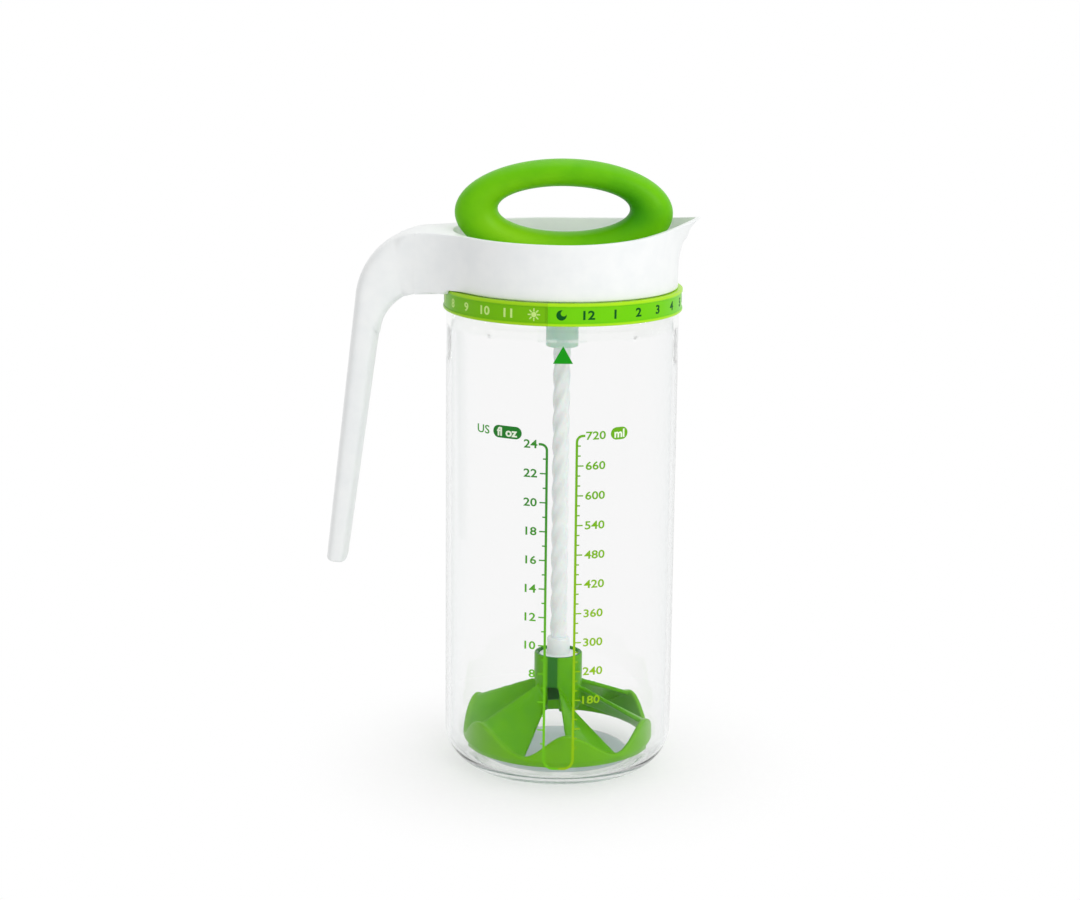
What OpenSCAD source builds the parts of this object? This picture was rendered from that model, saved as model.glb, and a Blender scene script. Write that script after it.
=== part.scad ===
// Baby formula mixing pitcher: a clear graduated jar, a lid with a pouring
// lip and a hook handle, a turning time-tracking ring under the lid, and a
// push-down plunger whose twisted shaft spins a six-bladed mixer as it runs
// through a nut in the lid.
//
// Millimetres. The origin is the centre of the jar's base. +Z is up, the
// pouring lip points along +X, the handle along -X, and the graduations
// face -Y.

/* [Jar] */
// Outer radius of the jar wall
jar_r = 43.5; // [40:0.1:52]
// Thickness of the jar wall
jar_wall = 2; // [1.4:0.1:3]
// Thickness of the jar floor
jar_floor_t = 3.5; // [2:0.1:8]
// Radius of the outer edge where wall and base meet
jar_corner_r = 15; // [6:0.5:22]
// Radius of the inner edge where wall and floor meet
jar_inner_corner_r = 10; // [4:0.5:10.5]
// Height of the shoulder that the ring stands on
shoulder_z = 177; // [160:1:220]
// Radius of the rounding on the shoulder's edge
shoulder_round = 1.8; // [0.5:0.1:2.2]
// How far the neck steps in from the jar wall
neck_step = 3.3; // [2.6:0.1:3.8]
// Height of the neck above the shoulder
neck_h = 21; // [18:0.5:30]

/* [Printed scales] */
// Height at which both scales read zero
scale_zero_z = 4.3; // [3:0.1:8]
// Millilitres that the ounce scale counts to one ounce
fl_oz_ml = 29.27; // [28.4:0.01:29.6]
// Largest mark of the ounce scale
fl_oz_top = 24; // [16:2:24]
// Largest mark of the millilitre scale
ml_top = 720; // [480:60:720]
// Distance of each scale's upright line from the centre line
scale_line_x = 5.4; // [4.6:0.1:9]
// Width of the upright lines
scale_line_w = 0.9; // [0.4:0.05:1.2]
// Width of a tick
tick_w = 0.5; // [0.3:0.05:0.9]
// Length of a numbered tick
tick_long = 2.5; // [1.8:0.1:4]
// Length of a plain tick
tick_short = 1.4; // [0.8:0.1:1.7]
// Height of the bottom of the loop that joins the two lines
scale_loop_z = 11; // [9:0.5:20]
// Radius of the bends in the lines
scale_bend_r = 3.4; // [2:0.1:4]
// Radius of the hooks at the top of the lines
scale_hook_r = 2.2; // [1.5:0.1:3.5]
// Thickness of the printed ink
ink_t = 0.1; // [0.05:0.01:0.3]
// Height of the middle of the two unit badges
badge_z = 137.6; // [110:0.1:150]
// Height of the unit badges
badge_h = 4.6; // [3.5:0.1:6]
// Width of the ounce badge
fl_oz_badge_w = 11.6; // [8:0.1:14]
// Width of the millilitre badge
ml_badge_w = 6.9; // [5.5:0.1:10]
// Direction of the ounce badge's middle, from the front
fl_oz_badge_az = -27.2; // [-40:0.1:-24]
// Direction of the millilitre badge's middle, from the front
ml_badge_az = 28.5; // [24:0.1:40]
// Height of the time pointer's base
pointer_z = 163.8; // [145:0.1:170]
// Height of the time pointer
pointer_h = 6.4; // [4:0.1:8]
// Width of the time pointer
pointer_w = 7.2; // [4:0.1:9]

/* [Time-tracking ring] */
// Height of the ring
ring_h = 8.3; // [6:0.1:12]
// How far the ring stands out past the jar wall
ring_proud = 1.2; // [0.8:0.1:1.6]
// Height of the beads along the ring's two edges
ring_bead_h = 1.2; // [0.6:0.1:1.8]
// Depth of the band between the beads
ring_recess = 0.35; // [0.1:0.05:0.8]
// Radius of the ring's lower outer edge
ring_round = 1; // [0.3:0.1:1.1]
// Direction of the joint between day and night halves, from the front
ring_split_az = -7.4; // [-30:0.1:30]

/* [Lid] */
// Height of the lid's side at the front
collar_h = 20.2; // [18:0.1:28]
// How far the collar's outside stands inside the jar's outer radius
collar_inset = 0.6; // [0.2:0.1:0.9]
// Thickness of the lid's wall at the rim
rim_wall = 2; // [1.6:0.1:2.6]
// Rise of the rim at the tip of the pouring lip
lip_rise = 5.7; // [3:0.1:9]
// Reach of the pouring lip past the collar
lip_reach = 8.5; // [4:0.1:12]
// Half of the arc that the pouring lip spans
lip_spread = 38; // [28:1:50]
// How far below the front rim the pouring lip starts to stand out
lip_depth = 13; // [9:0.5:18]
// Rise of the rim at the handle
handle_rise = 0.3; // [0.1:0.1:3]
// Radius of the concave fairing between collar and handle
fairing_r = 40; // [26:1:60]
// Depth of the pouring bowl below the flange's top face
bowl_depth = 10.3; // [8:0.1:14]
// Thickness of the deck's flange, wall and floor
deck_t = 2; // [1.5:0.1:2.5]
// Gap between the deck's plug wall and the jar's neck
plug_gap = 0.8; // [0.5:0.1:1.2]
// Gap between the deck's edge and the collar
deck_gap = 0.25; // [0.2:0.05:0.5]
// Width of a strainer slot
slot_w = 3; // [1.5:0.1:3.6]
// Number of strainer slots
slot_count = 4; // [2:1:4]
// Length of the longest strainer slot
slot_len = 26; // [14:1:30]
// Radius of the air vent
vent_r = 1.5; // [0.8:0.1:2.4]
// Height of the neck seal
gasket_h = 3; // [2:0.1:4]

/* [Handle] */
// Distance from the collar to the centre of the handle's bend
bend_reach = 7.4; // [4:0.1:16]
// Outer radius of the bend
bend_outer_r = 27; // [22:0.5:34]
// Inner radius of the bend
bend_inner_r = 19; // [14:0.5:20.5]
// Height of the handle where it leaves the collar
root_h = 22.2; // [21:0.1:30]
// Thickness of the handle's leg below the bend
leg_t = 10.4; // [7:0.1:12]
// Thickness of the leg at its tip
tip_t = 7.6; // [6:0.1:10]
// Angle between the leg and upright
leg_lean = 6.5; // [3:0.1:12]
// Height of the leg's tip
tip_z = 81.7; // [50:0.1:120]
// Half of the handle's width
handle_half_w = 10.2; // [8:0.1:11]
// How far past the bend's centre the collar's root reaches
root_reach = 4.7; // [4:0.1:8]

/* [Plunger] */
// Gap between the loop handle's ends and the inside of the lid's rim
loop_gap = 0.4; // [0.3:0.1:4]
// Height of the loop handle
loop_h = 39.8; // [34:0.1:50]
// Depth of the loop handle, front to back
loop_d = 15.4; // [14.4:0.1:18]
// Width of the finger hole
hole_w = 49; // [40:0.5:54]
// Height of the finger hole
hole_h = 17; // [14:0.1:20]
// How far the finger hole's centre sits above the loop's
hole_raise = 1.35; // [0:0.05:2]
// Length of the boss that shows under the loop
boss_stub = 2.7; // [1:0.1:3.5]
// Radius of the boss that holds the shaft's head
boss_r = 8; // [7.4:0.1:10]
// Radius of the socket in the boss
socket_r = 5.6; // [5:0.1:6]
// Thickness of the cap that closes the socket
cap_t = 3; // [2:0.1:3.4]
// Thickness of the thrust washer
washer_t = 0.8; // [0.5:0.1:1.2]
// Height of the shaft's head
head_h = 4.2; // [3:0.1:4.6]
// Radius of the neck under the shaft's head
shaft_neck_r = 3; // [2.6:0.1:3]

/* [Mixer] */
// Radius of the twisted bar over its lobes
bar_r = 3.3; // [3.2:0.05:3.8]
// Depth of the grooves between the lobes
bar_groove = 0.6; // [0.3:0.05:0.8]
// Height gained in one turn of the twist
bar_lead = 35.6; // [30:0.1:50]
// Radius of the guide nut
nut_r = 6.1; // [5.6:0.1:7]
// How far the nut hangs below the deck
nut_drop = 25; // [20:0.5:34]
// Length of the twisted bore in the nut
nut_thread_h = 12; // [8:0.5:16]
// Radius of the plain bar below the twist
plain_r = 4.4; // [4:0.1:5]
// Length of the plain bar above the hub
plain_h = 6; // [3:0.1:20]
// Radius of the foot that sits in the hub
foot_r = 7.6; // [7:0.05:7.7]
// Thickness of the hub's wall at its mouth
hub_wall = 1.6; // [1.2:0.1:2.2]
// Height of the hub
hub_h = 22.1; // [18:0.1:28]
// Height of the hub's top above the mixer's base
hub_top_h = 34.9; // [31:0.1:42]
// Width of the slot in the hub's side, and of the groove above it
hub_slot_w = 4.7; // [2:0.1:5]
// Height of the slot
hub_slot_h = 9.7; // [5:0.1:10.5]
// Direction of the slot, from the front
hub_slot_az = -15; // [-30:1:30]
// Depth of the groove that runs up from the slot to the hub's mouth
hub_groove_d = 0.7; // [0.3:0.1:0.9]
// Gap between the mixer's skirt and the jar's neck, which it comes out through
mixer_gap = 1.7; // [1.2:0.1:4]
// How far the mixer's base edge stands in from its skirt's top
mixer_flare = 1.5; // [1.3:0.1:4]
// Gap between the jar's floor and the mixer
floor_gap = 5; // [1.2:0.1:7]
// Number of blades
blade_count = 6; // [4:1:8]
// Direction of the first blade's high edge at the skirt, from the front
blade_az = 4.5; // [0:0.5:60]
// How many degrees round a blade's hub end starts before its skirt end
blade_lead = 5; // [0:0.5:12]
// Share of each blade's pitch that its panel fills at the skirt
blade_fill_out = 0.57; // [0.4:0.01:0.6]
// Share of each blade's pitch that its panel fills at the hub
blade_fill_in = 0.45; // [0.35:0.01:0.6]
// Thickness of the blades and the skirt
blade_t = 1.8; // [1.4:0.1:2.2]
// Height of a blade's high edge at the hub, above the mixer's base
blade_high_in = 24.1; // [21:0.1:26]
// Height of a blade's high edge at the skirt, above the mixer's base
blade_high_out = 12.8; // [10:0.1:16]
// Height of a blade's low edge at the hub, above the mixer's base
blade_low_in = 16.5; // [15.5:0.1:18]
// Height of a blade's low edge at the skirt, above the mixer's base
blade_low_out = 3.7; // [3.2:0.1:6]

/* [Fits] */
// Gap between pieces that move past each other
run_gap = 0.3; // [0.25:0.01:0.4]
// Gap between round pieces that are seated together
seat_gap = 0.03; // [0.01:0.01:0.05]
// Gap between the twisted bar and its bore
twist_gap = 0.25; // [0.2:0.01:0.4]

/* [Hidden] */
$fn = 96;
tiny = 0.01;
mm3_per_ml = 1000;

bore_r = jar_r - jar_wall;
bore_area = PI * pow(bore_r, 2);
neck_r = jar_r - neck_step;
neck_bore_r = neck_r - jar_wall;
neck_top_z = shoulder_z + neck_h;
// The jar's body and its neck meet on this level plane, below the shoulder.
neck_root_z = shoulder_z - jar_wall - shoulder_round;

ring_z = shoulder_z + run_gap;
ring_top_z = ring_z + ring_h;
ring_bore_r = neck_r + run_gap;
ring_r = jar_r + ring_proud;

collar_z = ring_top_z + run_gap;
collar_r = jar_r - collar_inset;
collar_bore_r = neck_r + run_gap + 0.1;
rim_z = collar_z + collar_h;
deck_z = neck_top_z + run_gap;
ledge_z = deck_z + deck_t;
ledge_r = collar_bore_r - 1;
deck_r = collar_bore_r - deck_gap;
bowl_z = ledge_z - bowl_depth;
deck_under_z = bowl_z - deck_t;
plug_r = neck_bore_r - plug_gap;
bowl_r = plug_r - deck_t;

nut_z = deck_under_z - nut_drop;
nut_flange_r = nut_r + 3.5;
nut_bore_r = bar_r + 0.8;
wiper_t = 1.4;

loop_w = 2 * (collar_r - rim_wall - loop_gap);
boss_z = bowl_z + run_gap;
socket_top_z = boss_z + cap_t + head_h + washer_t + 2 * run_gap;
loop_z = boss_z + boss_stub + loop_h / 2;
hole_z = loop_z + hole_raise;
cap_top_z = boss_z + cap_t;
bar_top_z = boss_z - run_gap;

mixer_r = neck_bore_r - mixer_gap;
mixer_base_r = mixer_r - mixer_flare;
mixer_z = jar_floor_t + floor_gap;
hub_top_z = mixer_z + hub_top_h;
hub_z = hub_top_z - hub_h;
hub_bore_r = foot_r + seat_gap;
hub_r = hub_bore_r + hub_wall;
hub_base_r = hub_r - 1;
foot_z = hub_z + hub_slot_h + deck_t;
foot_lip = 0.8;
bar_z = hub_top_z + plain_h;
blade_pitch = 360 / blade_count;
// How far the blades meet the skirt below its top edge.
blade_drop = 0.7;

handle_top_z = rim_z + handle_rise;
bend_x = collar_r + bend_reach;
bend_z = handle_top_z - bend_outer_r;
inner_bend_z = handle_top_z - root_h - bend_inner_r;
leg_dir = [-cos(leg_lean), sin(leg_lean)];
inner_bend_x = bend_x + (leg_t - (bend_outer_r - bend_inner_r) - (bend_z - inner_bend_z) * leg_dir[1])
    / leg_dir[0];
// The collar's root ends and the handle starts on this upright plane.
handle_cut_x = bend_x + root_reach;

// ---- Shared functions and shapes ----

function clamp01(v) = min(1, max(0, v));
function smooth(v) = let (c = clamp01(v)) c * c * (3 - 2 * c);
function mix(a, b, t) = a + (b - a) * t;
function signed_pow(v, p) = sign(v) * pow(abs(v), p);
function polar(r, angle, z) = [r * cos(angle), r * sin(angle), z];

// A direction counted from the front, towards +X, as an angle from +X.
function from_front(az) = az - 90;

// A closed skin through equal rings of points, which each go round clockwise
// when looked back at from the next ring. A closed loft ends where it began.
module loft(rings, closed = false) {
    m = len(rings[0]);
    n = len(rings);
    spans = closed ? n : n - 1;
    sides = [
        for (i = [0:spans - 1], j = [0:m - 1])
            let (k = (i + 1) % n, l = (j + 1) % m)
                each [
                    [i * m + j, k * m + l, k * m + j],
                    [i * m + j, i * m + l, k * m + l]
                ]
    ];
    first = [for (j = [1:m - 2]) [0, j + 1, j]];
    last = [for (j = [1:m - 2]) [(n - 1) * m, (n - 1) * m + j, (n - 1) * m + j + 1]];
    points = [for (ring = rings) each ring];
    polyhedron(points, closed ? sides : concat(sides, first, last));
}

module tube(outer, inner, h) {
    difference() {
        cylinder(r = outer, h = h);
        translate([0, 0, -1]) cylinder(r = inner, h = h + 2);
    }
}

// A square-cornered outline from the axis out to r, with its lower outer
// corner rounded.
module round_foot_outline(r, h, corner) {
    translate([0, corner]) square([r, h - corner]);
    square([r - corner, h]);
    translate([r - corner, corner]) circle(corner);
}

// The same with its upper outer corner rounded.
module round_head_outline(r, h, corner) {
    translate([0, h]) mirror([0, 1]) round_foot_outline(r, h, corner);
}

// ---- Jar ----

module jar_outside() {
    intersection() {
        round_foot_outline(jar_r, shoulder_z, jar_corner_r);
        round_head_outline(jar_r, shoulder_z, shoulder_round);
    }
    translate([0, jar_corner_r]) square([neck_r, neck_top_z - jar_corner_r]);
}

module jar_inside() {
    ceiling = shoulder_z - jar_wall - jar_floor_t;
    translate([0, jar_floor_t]) intersection() {
        round_foot_outline(bore_r, ceiling, jar_inner_corner_r);
        round_head_outline(bore_r, ceiling, shoulder_round);
    }
    translate([0, jar_floor_t + jar_inner_corner_r]) square([neck_bore_r, neck_top_z]);
}

// The part of the jar's wall between two heights.
module jar_shell(from_z, to_z) {
    color([0.93, 0.96, 0.96, 0.4]) rotate_extrude() intersection() {
        difference() {
            jar_outside();
            jar_inside();
        }
        translate([0, from_z]) square([jar_r + 1, to_z - from_z]);
    }
}

module jar_body() {
    jar_shell(0, neck_root_z);
}

module jar_neck() {
    jar_shell(neck_root_z, neck_top_z);
}

// ---- Prints on the jar ----

// Height of the liquid that fills the jar to a volume in millilitres.
function level(ml) = scale_zero_z + ml * mm3_per_ml / bore_area;
function fl_oz_level(oz) = level(oz * fl_oz_ml);

// Flat artwork laid on the jar's wall as a thin skin of ink.
module printed(az = 0) {
    intersection() {
        tube(jar_r + seat_gap + ink_t, jar_r + seat_gap, shoulder_z);
        rotate([0, 0, az]) rotate([90, 0, 0]) linear_extrude(jar_r + 2) children();
    }
}

function arc_points(centre, r, from, to, steps = 8) = [
    for (i = [0:steps]) let (a = mix(from, to, i / steps)) centre + r * [cos(a), sin(a)]
];

module tick(z, length) {
    translate([scale_line_x, z - tick_w / 2]) square([length, tick_w]);
}

// An upright line with its hook at the top, and half of the loop below.
module scale_line(top) {
    half = scale_line_w / 2;
    hook = [scale_line_x + scale_hook_r, top - scale_hook_r];
    bend = [scale_line_x - scale_bend_r, scale_loop_z + scale_bend_r];
    stub_x = scale_line_x + tick_long + 0.5;
    outer_edge = concat(
        [[stub_x, top + half]],
        arc_points(hook, scale_hook_r + half, 90, 180),
        arc_points(bend, scale_bend_r - half, 0, -90),
        [[0, scale_loop_z + half]]
    );
    inner_edge = concat(
        [[0, scale_loop_z - half]],
        arc_points(bend, scale_bend_r + half, -90, 0),
        arc_points(hook, scale_hook_r - half, 180, 90),
        [[stub_x, top - half]]
    );
    polygon(concat(outer_edge, inner_edge));
}

module fl_oz_scale() {
    color([0.2, 0.52, 0.18]) printed() mirror([1, 0]) {
        scale_line(fl_oz_level(fl_oz_top));
        for (oz = [3:fl_oz_top - 1]) tick(fl_oz_level(oz), oz % 2 == 0 ? tick_long : tick_short);
    }
}

module ml_scale() {
    color([0.55, 0.74, 0.12]) printed() {
        scale_line(level(ml_top));
        for (ml = [80:20:ml_top - 20]) tick(level(ml), ml % 60 == 0 ? tick_long : tick_short);
    }
}

module badge_outline(w) {
    r = badge_h / 2;
    translate([r - w / 2, badge_z - r]) square([w - badge_h, badge_h]);
    for (side = [-1, 1]) translate([side * (w / 2 - r), badge_z]) circle(r);
}

module fl_oz_badge() {
    color([0.16, 0.5, 0.2]) printed(fl_oz_badge_az) badge_outline(fl_oz_badge_w);
}

module ml_badge() {
    color([0.55, 0.74, 0.12]) printed(ml_badge_az) badge_outline(ml_badge_w);
}

module time_pointer() {
    corners = [[-pointer_w / 2, 0], [pointer_w / 2, 0], [0, pointer_h]];
    color([0.14, 0.65, 0.1]) printed() translate([0, pointer_z]) polygon(corners);
}

// ---- Time-tracking ring ----

module ring_section() {
    difference() {
        translate([0, ring_z]) round_foot_outline(ring_r, ring_h, ring_round);
        square([ring_bore_r, ring_top_z + 1]);
        translate([ring_r - ring_recess, ring_z + ring_bead_h])
            square([ring_recess + 1, ring_h - 2 * ring_bead_h]);
    }
}

module ring_half(turn) {
    rotate([0, 0, from_front(ring_split_az) + turn]) rotate_extrude(angle = 180) ring_section();
}

module ring_day_half() {
    color([0.42, 0.7, 0.08]) ring_half(180);
}

module ring_night_half() {
    color([0.6, 0.84, 0.05]) ring_half(0);
}

// ---- Lid ----

// How much the pouring lip acts in a direction d degrees from its tip.
function lip_share(d) = let (soft = sqrt(d * d + 4) - 2) pow(clamp01(1 - soft / lip_spread), 1.6);

// How far the lip stands out at a height, as a share of the way to its tip.
function lip_bulge(z) = let (u = clamp01((z - rim_z + lip_depth) / (lip_depth + lip_rise)))
    lip_reach * (0.85 * pow(u, 2) + 0.15 * pow(u, 8));

// Height of the rim in a direction d degrees from the lip's tip.
function rim_height(d) = d < 90
    ? rim_z + lip_rise * pow(1 - d / 90, 1.86)
    : rim_z + handle_rise * smooth((d - 90) / 70);

// The fairing is an arc that touches the collar and the handle's side.
fairing_y = handle_half_w + fairing_r;
fairing_x = sqrt(pow(collar_r + fairing_r, 2) - pow(fairing_y, 2));
fairing_end = atan2(fairing_y, fairing_x);
function fairing_half_w(x) = x < fairing_x
    ? fairing_y - sqrt(pow(fairing_r, 2) - pow(fairing_x - x, 2))
    : handle_half_w;
cut_half_w = fairing_half_w(handle_cut_x);
cut_end = atan2(cut_half_w, handle_cut_x);

// Plan radius of the collar and its root, q degrees from the handle's middle.
function plan_radius(q) =
    q >= fairing_end ? collar_r
    : q <= cut_end ? handle_cut_x / cos(q)
    : let (b = fairing_x * cos(q) + fairing_y * sin(q),
           c = pow(fairing_x, 2) + pow(fairing_y, 2) - pow(fairing_r, 2))
        b - sqrt(max(0, b * b - c));

// Heights of the handle's top and underside, x out from the jar's axis.
function handle_top(x) = bend_z + sqrt(pow(bend_outer_r, 2) - pow(max(0, x - bend_x), 2));
function handle_under(x) = inner_bend_z + sqrt(pow(bend_inner_r, 2) - pow(max(0, x - inner_bend_x), 2));

// Plan directions from the lip's tip round to the handle's middle.
collar_turns = concat(
    [for (i = [0:9]) i * lip_spread / 9],
    [for (i = [1:11]) mix(lip_spread, 180 - fairing_end, i / 12)],
    [for (i = [0:11]) 180 - mix(fairing_end, cut_end, i / 12)],
    [for (i = [0:2]) 180 - mix(cut_end, 0, i / 3)]
);

// The collar's section in a direction: underside, outside, rim and inside.
function collar_section(turn) =
    let (d = abs(turn), q = 180 - d,
         r = plan_radius(q), share = lip_share(d),
         edge = 0.05 + 0.55 * clamp01((q - cut_end) / 8),
         clear_r = ring_r + run_gap + 0.1,
         root = clamp01((r - clear_r - 1.1) / 1.5),
         step_r = min(clear_r, r - 1),
         under = mix(collar_z, handle_under(r * cos(q)), root),
         top = mix(rim_height(d), min(rim_height(d), handle_top(r * cos(q))), root),
         low = under + edge, high = top - edge)
    concat(
        [[collar_bore_r, collar_z], [step_r, collar_z], [step_r + 0.05, under], [r - edge, under]],
        [for (f = [0, 0.4, 0.65, 0.85, 1]) let (z = mix(low, high, f)) [r + share * lip_bulge(z), z]],
        [
            [r + share * lip_bulge(top) - edge, top],
            [collar_r - rim_wall + share * lip_bulge(top) + 0.5, rim_height(d)],
            [collar_r - rim_wall + share * lip_bulge(top), rim_height(d) - 0.5],
            [
                mix(ledge_r, collar_r - rim_wall, 0.5) + 0.4 * share * lip_bulge(top),
                mix(ledge_z, rim_z, 0.5)
            ],
            [ledge_r, ledge_z],
            [collar_bore_r, ledge_z]
        ]
    );

module lid_collar() {
    mirrored = [for (i = [len(collar_turns) - 1:-1:1]) -collar_turns[i]];
    turns = concat(collar_turns, [180], mirrored);
    rings = [for (t = turns) [for (p = collar_section(t)) polar(p[0], t, p[1])]];
    color([0.95, 0.95, 0.95]) loft(rings, closed = true);
}

// The handle's outer and inner outlines in the upright plane through it.
function bend_outer(a) = [-bend_x, bend_z] + bend_outer_r * [cos(a), sin(a)];
function bend_inner(a) = [-inner_bend_x, inner_bend_z] + bend_inner_r * [cos(a), sin(a)];
bend_end = 180 - leg_lean;
bend_start_outer = acos((bend_x - handle_cut_x) / bend_outer_r);
bend_start_inner = acos((inner_bend_x - handle_cut_x) / bend_inner_r);
leg_down = [-sin(leg_lean), -cos(leg_lean)];
leg_len = (bend_outer(bend_end)[1] - tip_z) / cos(leg_lean);

// One section across the handle: a rounded oblong between two outline
// points, half_w to each side.
function handle_section(outer, inner, half_w, squareness) = [
    for (i = [0:19])
        let (a = 360 * i / 20,
             across = signed_pow(cos(a), 2 / squareness),
             along = signed_pow(sin(a), 2 / squareness),
             p = mix((outer + inner) / 2, outer, along))
            [p[0], half_w * across, p[1]]
];

module lid_handle() {
    bend_steps = 10;
    leg_steps = 5;
    bend = [
        for (i = [0:bend_steps])
            let (f = i / bend_steps,
                 outer = bend_outer(mix(bend_start_outer, bend_end, f)),
                 inner = bend_inner(mix(bend_start_inner, bend_end, f)))
                handle_section(outer, inner, fairing_half_w(-outer[0]), mix(5, 3.4, f))
    ];
    leg = [
        for (i = [1:leg_steps])
            let (f = i / leg_steps,
                 outer = bend_outer(bend_end) + leg_down * leg_len * f,
                 thick = mix(leg_t, tip_t, f))
                handle_section(outer, outer - leg_dir * thick, handle_half_w, 3.4)
    ];
    tip_outer = bend_outer(bend_end) + leg_down * (leg_len + 1);
    inset = 1.5;
    tip = handle_section(
        tip_outer - leg_dir * inset, tip_outer - leg_dir * (tip_t - inset), handle_half_w - inset, 3
    );
    color([0.92, 0.95, 0.95]) loft(concat(bend, leg, [tip]));
}

module strainer_slots() {
    pitch = slot_w + 2.4;
    first_x = boss_r + slot_w + 1;
    for (i = [0:slot_count - 1]) {
        x = first_x + i * pitch;
        length = min(slot_len, 2 * sqrt(pow(bowl_r - 2, 2) - pow(x + slot_w, 2)));
        translate([x, -length / 2, deck_under_z - 1]) cube([slot_w, length, deck_t + 2]);
    }
}

module lid_deck() {
    groove_z = deck_under_z + deck_t + 1;
    color([0.96, 0.96, 0.95]) difference() {
        union() {
            translate([0, 0, deck_z]) cylinder(r = deck_r, h = deck_t);
            translate([0, 0, deck_under_z]) cylinder(r = plug_r, h = ledge_z - deck_under_z);
        }
        translate([0, 0, bowl_z]) cylinder(r = bowl_r, h = bowl_depth + 1);
        translate([0, 0, deck_under_z - 1]) cylinder(r = nut_r + seat_gap, h = deck_t + 2);
        translate([0, 0, groove_z]) tube(plug_r + 1, plug_r - deck_t / 2, gasket_h + 2 * seat_gap);
        translate([-bowl_r + 4 * vent_r, 0, deck_under_z - 1]) cylinder(r = vent_r, h = deck_t + 2);
        strainer_slots();
    }
}

module lid_gasket() {
    groove_z = deck_under_z + deck_t + 1;
    color([0.85, 0.88, 0.88]) translate([0, 0, groove_z + seat_gap])
        tube(neck_bore_r - run_gap, plug_r - deck_t / 2 + seat_gap, gasket_h);
}

// ---- Twisted bar and its nut ----

// Outline of the bar: four soft lobes.
function lobed_outline(r) = [
    for (i = [0:15]) let (a = 360 * i / 16) (r - bar_groove * (1 - cos(4 * a)) / 2) * [cos(a), sin(a)]
];

// A right-handed twisted bar, always in step with the bar's own twist.
module twisted(z, h, r) {
    turn = 360 * h / bar_lead;
    translate([0, 0, z]) rotate([0, 0, 360 * z / bar_lead])
        linear_extrude(h, twist = -turn, slices = ceil(turn / 10), $fn = 16) polygon(lobed_outline(r));
}

module shaft_guide_nut() {
    flange_t = 1.9;
    color([0.8, 0.88, 0.9, 0.8]) difference() {
        union() {
            translate([0, 0, nut_z]) cylinder(r = nut_r, h = bowl_z - nut_z);
            translate([0, 0, deck_under_z - flange_t]) cylinder(r = nut_flange_r, h = flange_t);
        }
        twisted(nut_z - 1, nut_thread_h + 2, bar_r + twist_gap);
        translate([0, 0, nut_z + nut_thread_h]) cylinder(r = nut_bore_r, h = bowl_z - nut_z);
        translate([0, 0, bowl_z - wiper_t - seat_gap]) cylinder(r = nut_r - 1, h = wiper_t + 1);
    }
}

module shaft_wiper() {
    color([0.75, 0.78, 0.78]) translate([0, 0, bowl_z - wiper_t])
        tube(nut_r - 1 - seat_gap, bar_r + run_gap, wiper_t - seat_gap);
}

module twist_shaft() {
    color([0.9, 0.93, 0.94]) twisted(bar_z, bar_top_z - bar_z, bar_r);
}

// ---- Plunger ----

module loop_ring() {
    rings = [
        for (i = [0:47])
            let (a = 360 * i / 48,
                 outer = [loop_w / 2 * cos(a), loop_z + loop_h / 2 * sin(a)],
                 inner = [hole_w / 2 * cos(a), hole_z + hole_h / 2 * sin(a)])
                [
                    for (j = [0:15])
                        let (b = 360 * j / 16,
                             p = mix((outer + inner) / 2, outer, signed_pow(cos(b), 0.92)))
                            [p[0], -loop_d / 2 * signed_pow(sin(b), 0.92), p[1]]
                ]
    ];
    loft(rings, closed = true);
}

module plunger_loop() {
    color([0.36, 0.74, 0.03]) difference() {
        union() {
            loop_ring();
            translate([0, 0, boss_z]) cylinder(r = boss_r, h = socket_top_z - boss_z + 1);
        }
        translate([0, 0, boss_z - 1]) cylinder(r = socket_r, h = socket_top_z - boss_z + 1);
    }
}

module swivel_cap() {
    color([0.3, 0.66, 0.03]) translate([0, 0, boss_z])
        tube(socket_r - seat_gap, shaft_neck_r + run_gap, cap_t);
}

module swivel_washer() {
    color([0.9, 0.9, 0.9]) translate([0, 0, socket_top_z - washer_t])
        cylinder(r = socket_r - seat_gap, h = washer_t);
}

module shaft_head() {
    color([0.9, 0.93, 0.94]) {
        translate([0, 0, bar_top_z]) cylinder(r = shaft_neck_r, h = cap_top_z + run_gap + tiny - bar_top_z);
        translate([0, 0, cap_top_z + run_gap]) cylinder(r = socket_r - run_gap, h = head_h);
    }
}

// ---- Foot and mixer ----

module shaft_foot() {
    color([0.93, 0.94, 0.94]) {
        translate([0, 0, foot_z]) cylinder(r = foot_r, h = hub_top_z - foot_lip - foot_z);
        translate([0, 0, hub_top_z - foot_lip - tiny])
            cylinder(r = plain_r, h = bar_z - hub_top_z + foot_lip + tiny);
    }
}

// Height of the skirt's top edge, a degrees past a blade's high edge.
function skirt_top(a) =
    let (panel = blade_fill_out * blade_pitch,
         fall = smooth(a / panel),
         climb = smooth((a - panel) / (blade_pitch - panel)))
        mixer_z + mix(blade_high_out, blade_low_out, a < panel ? fall : 1 - climb);

module mixer_skirt() {
    steps = 12 * blade_count;
    rings = [
        for (i = [0:steps - 1])
            let (a = blade_pitch * (i % 12) / 12,
                 turn = from_front(blade_az) + 360 * i / steps,
                 top = skirt_top(a))
                [
                    polar(mixer_base_r, turn, mixer_z),
                    polar(mixer_r, turn, mixer_z + 2.5),
                    polar(mixer_r, turn, top),
                    polar(mixer_r - blade_t, turn, top),
                    polar(mixer_base_r - blade_t, turn, mixer_z)
                ]
    ];
    loft(rings, closed = true);
}

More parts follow.
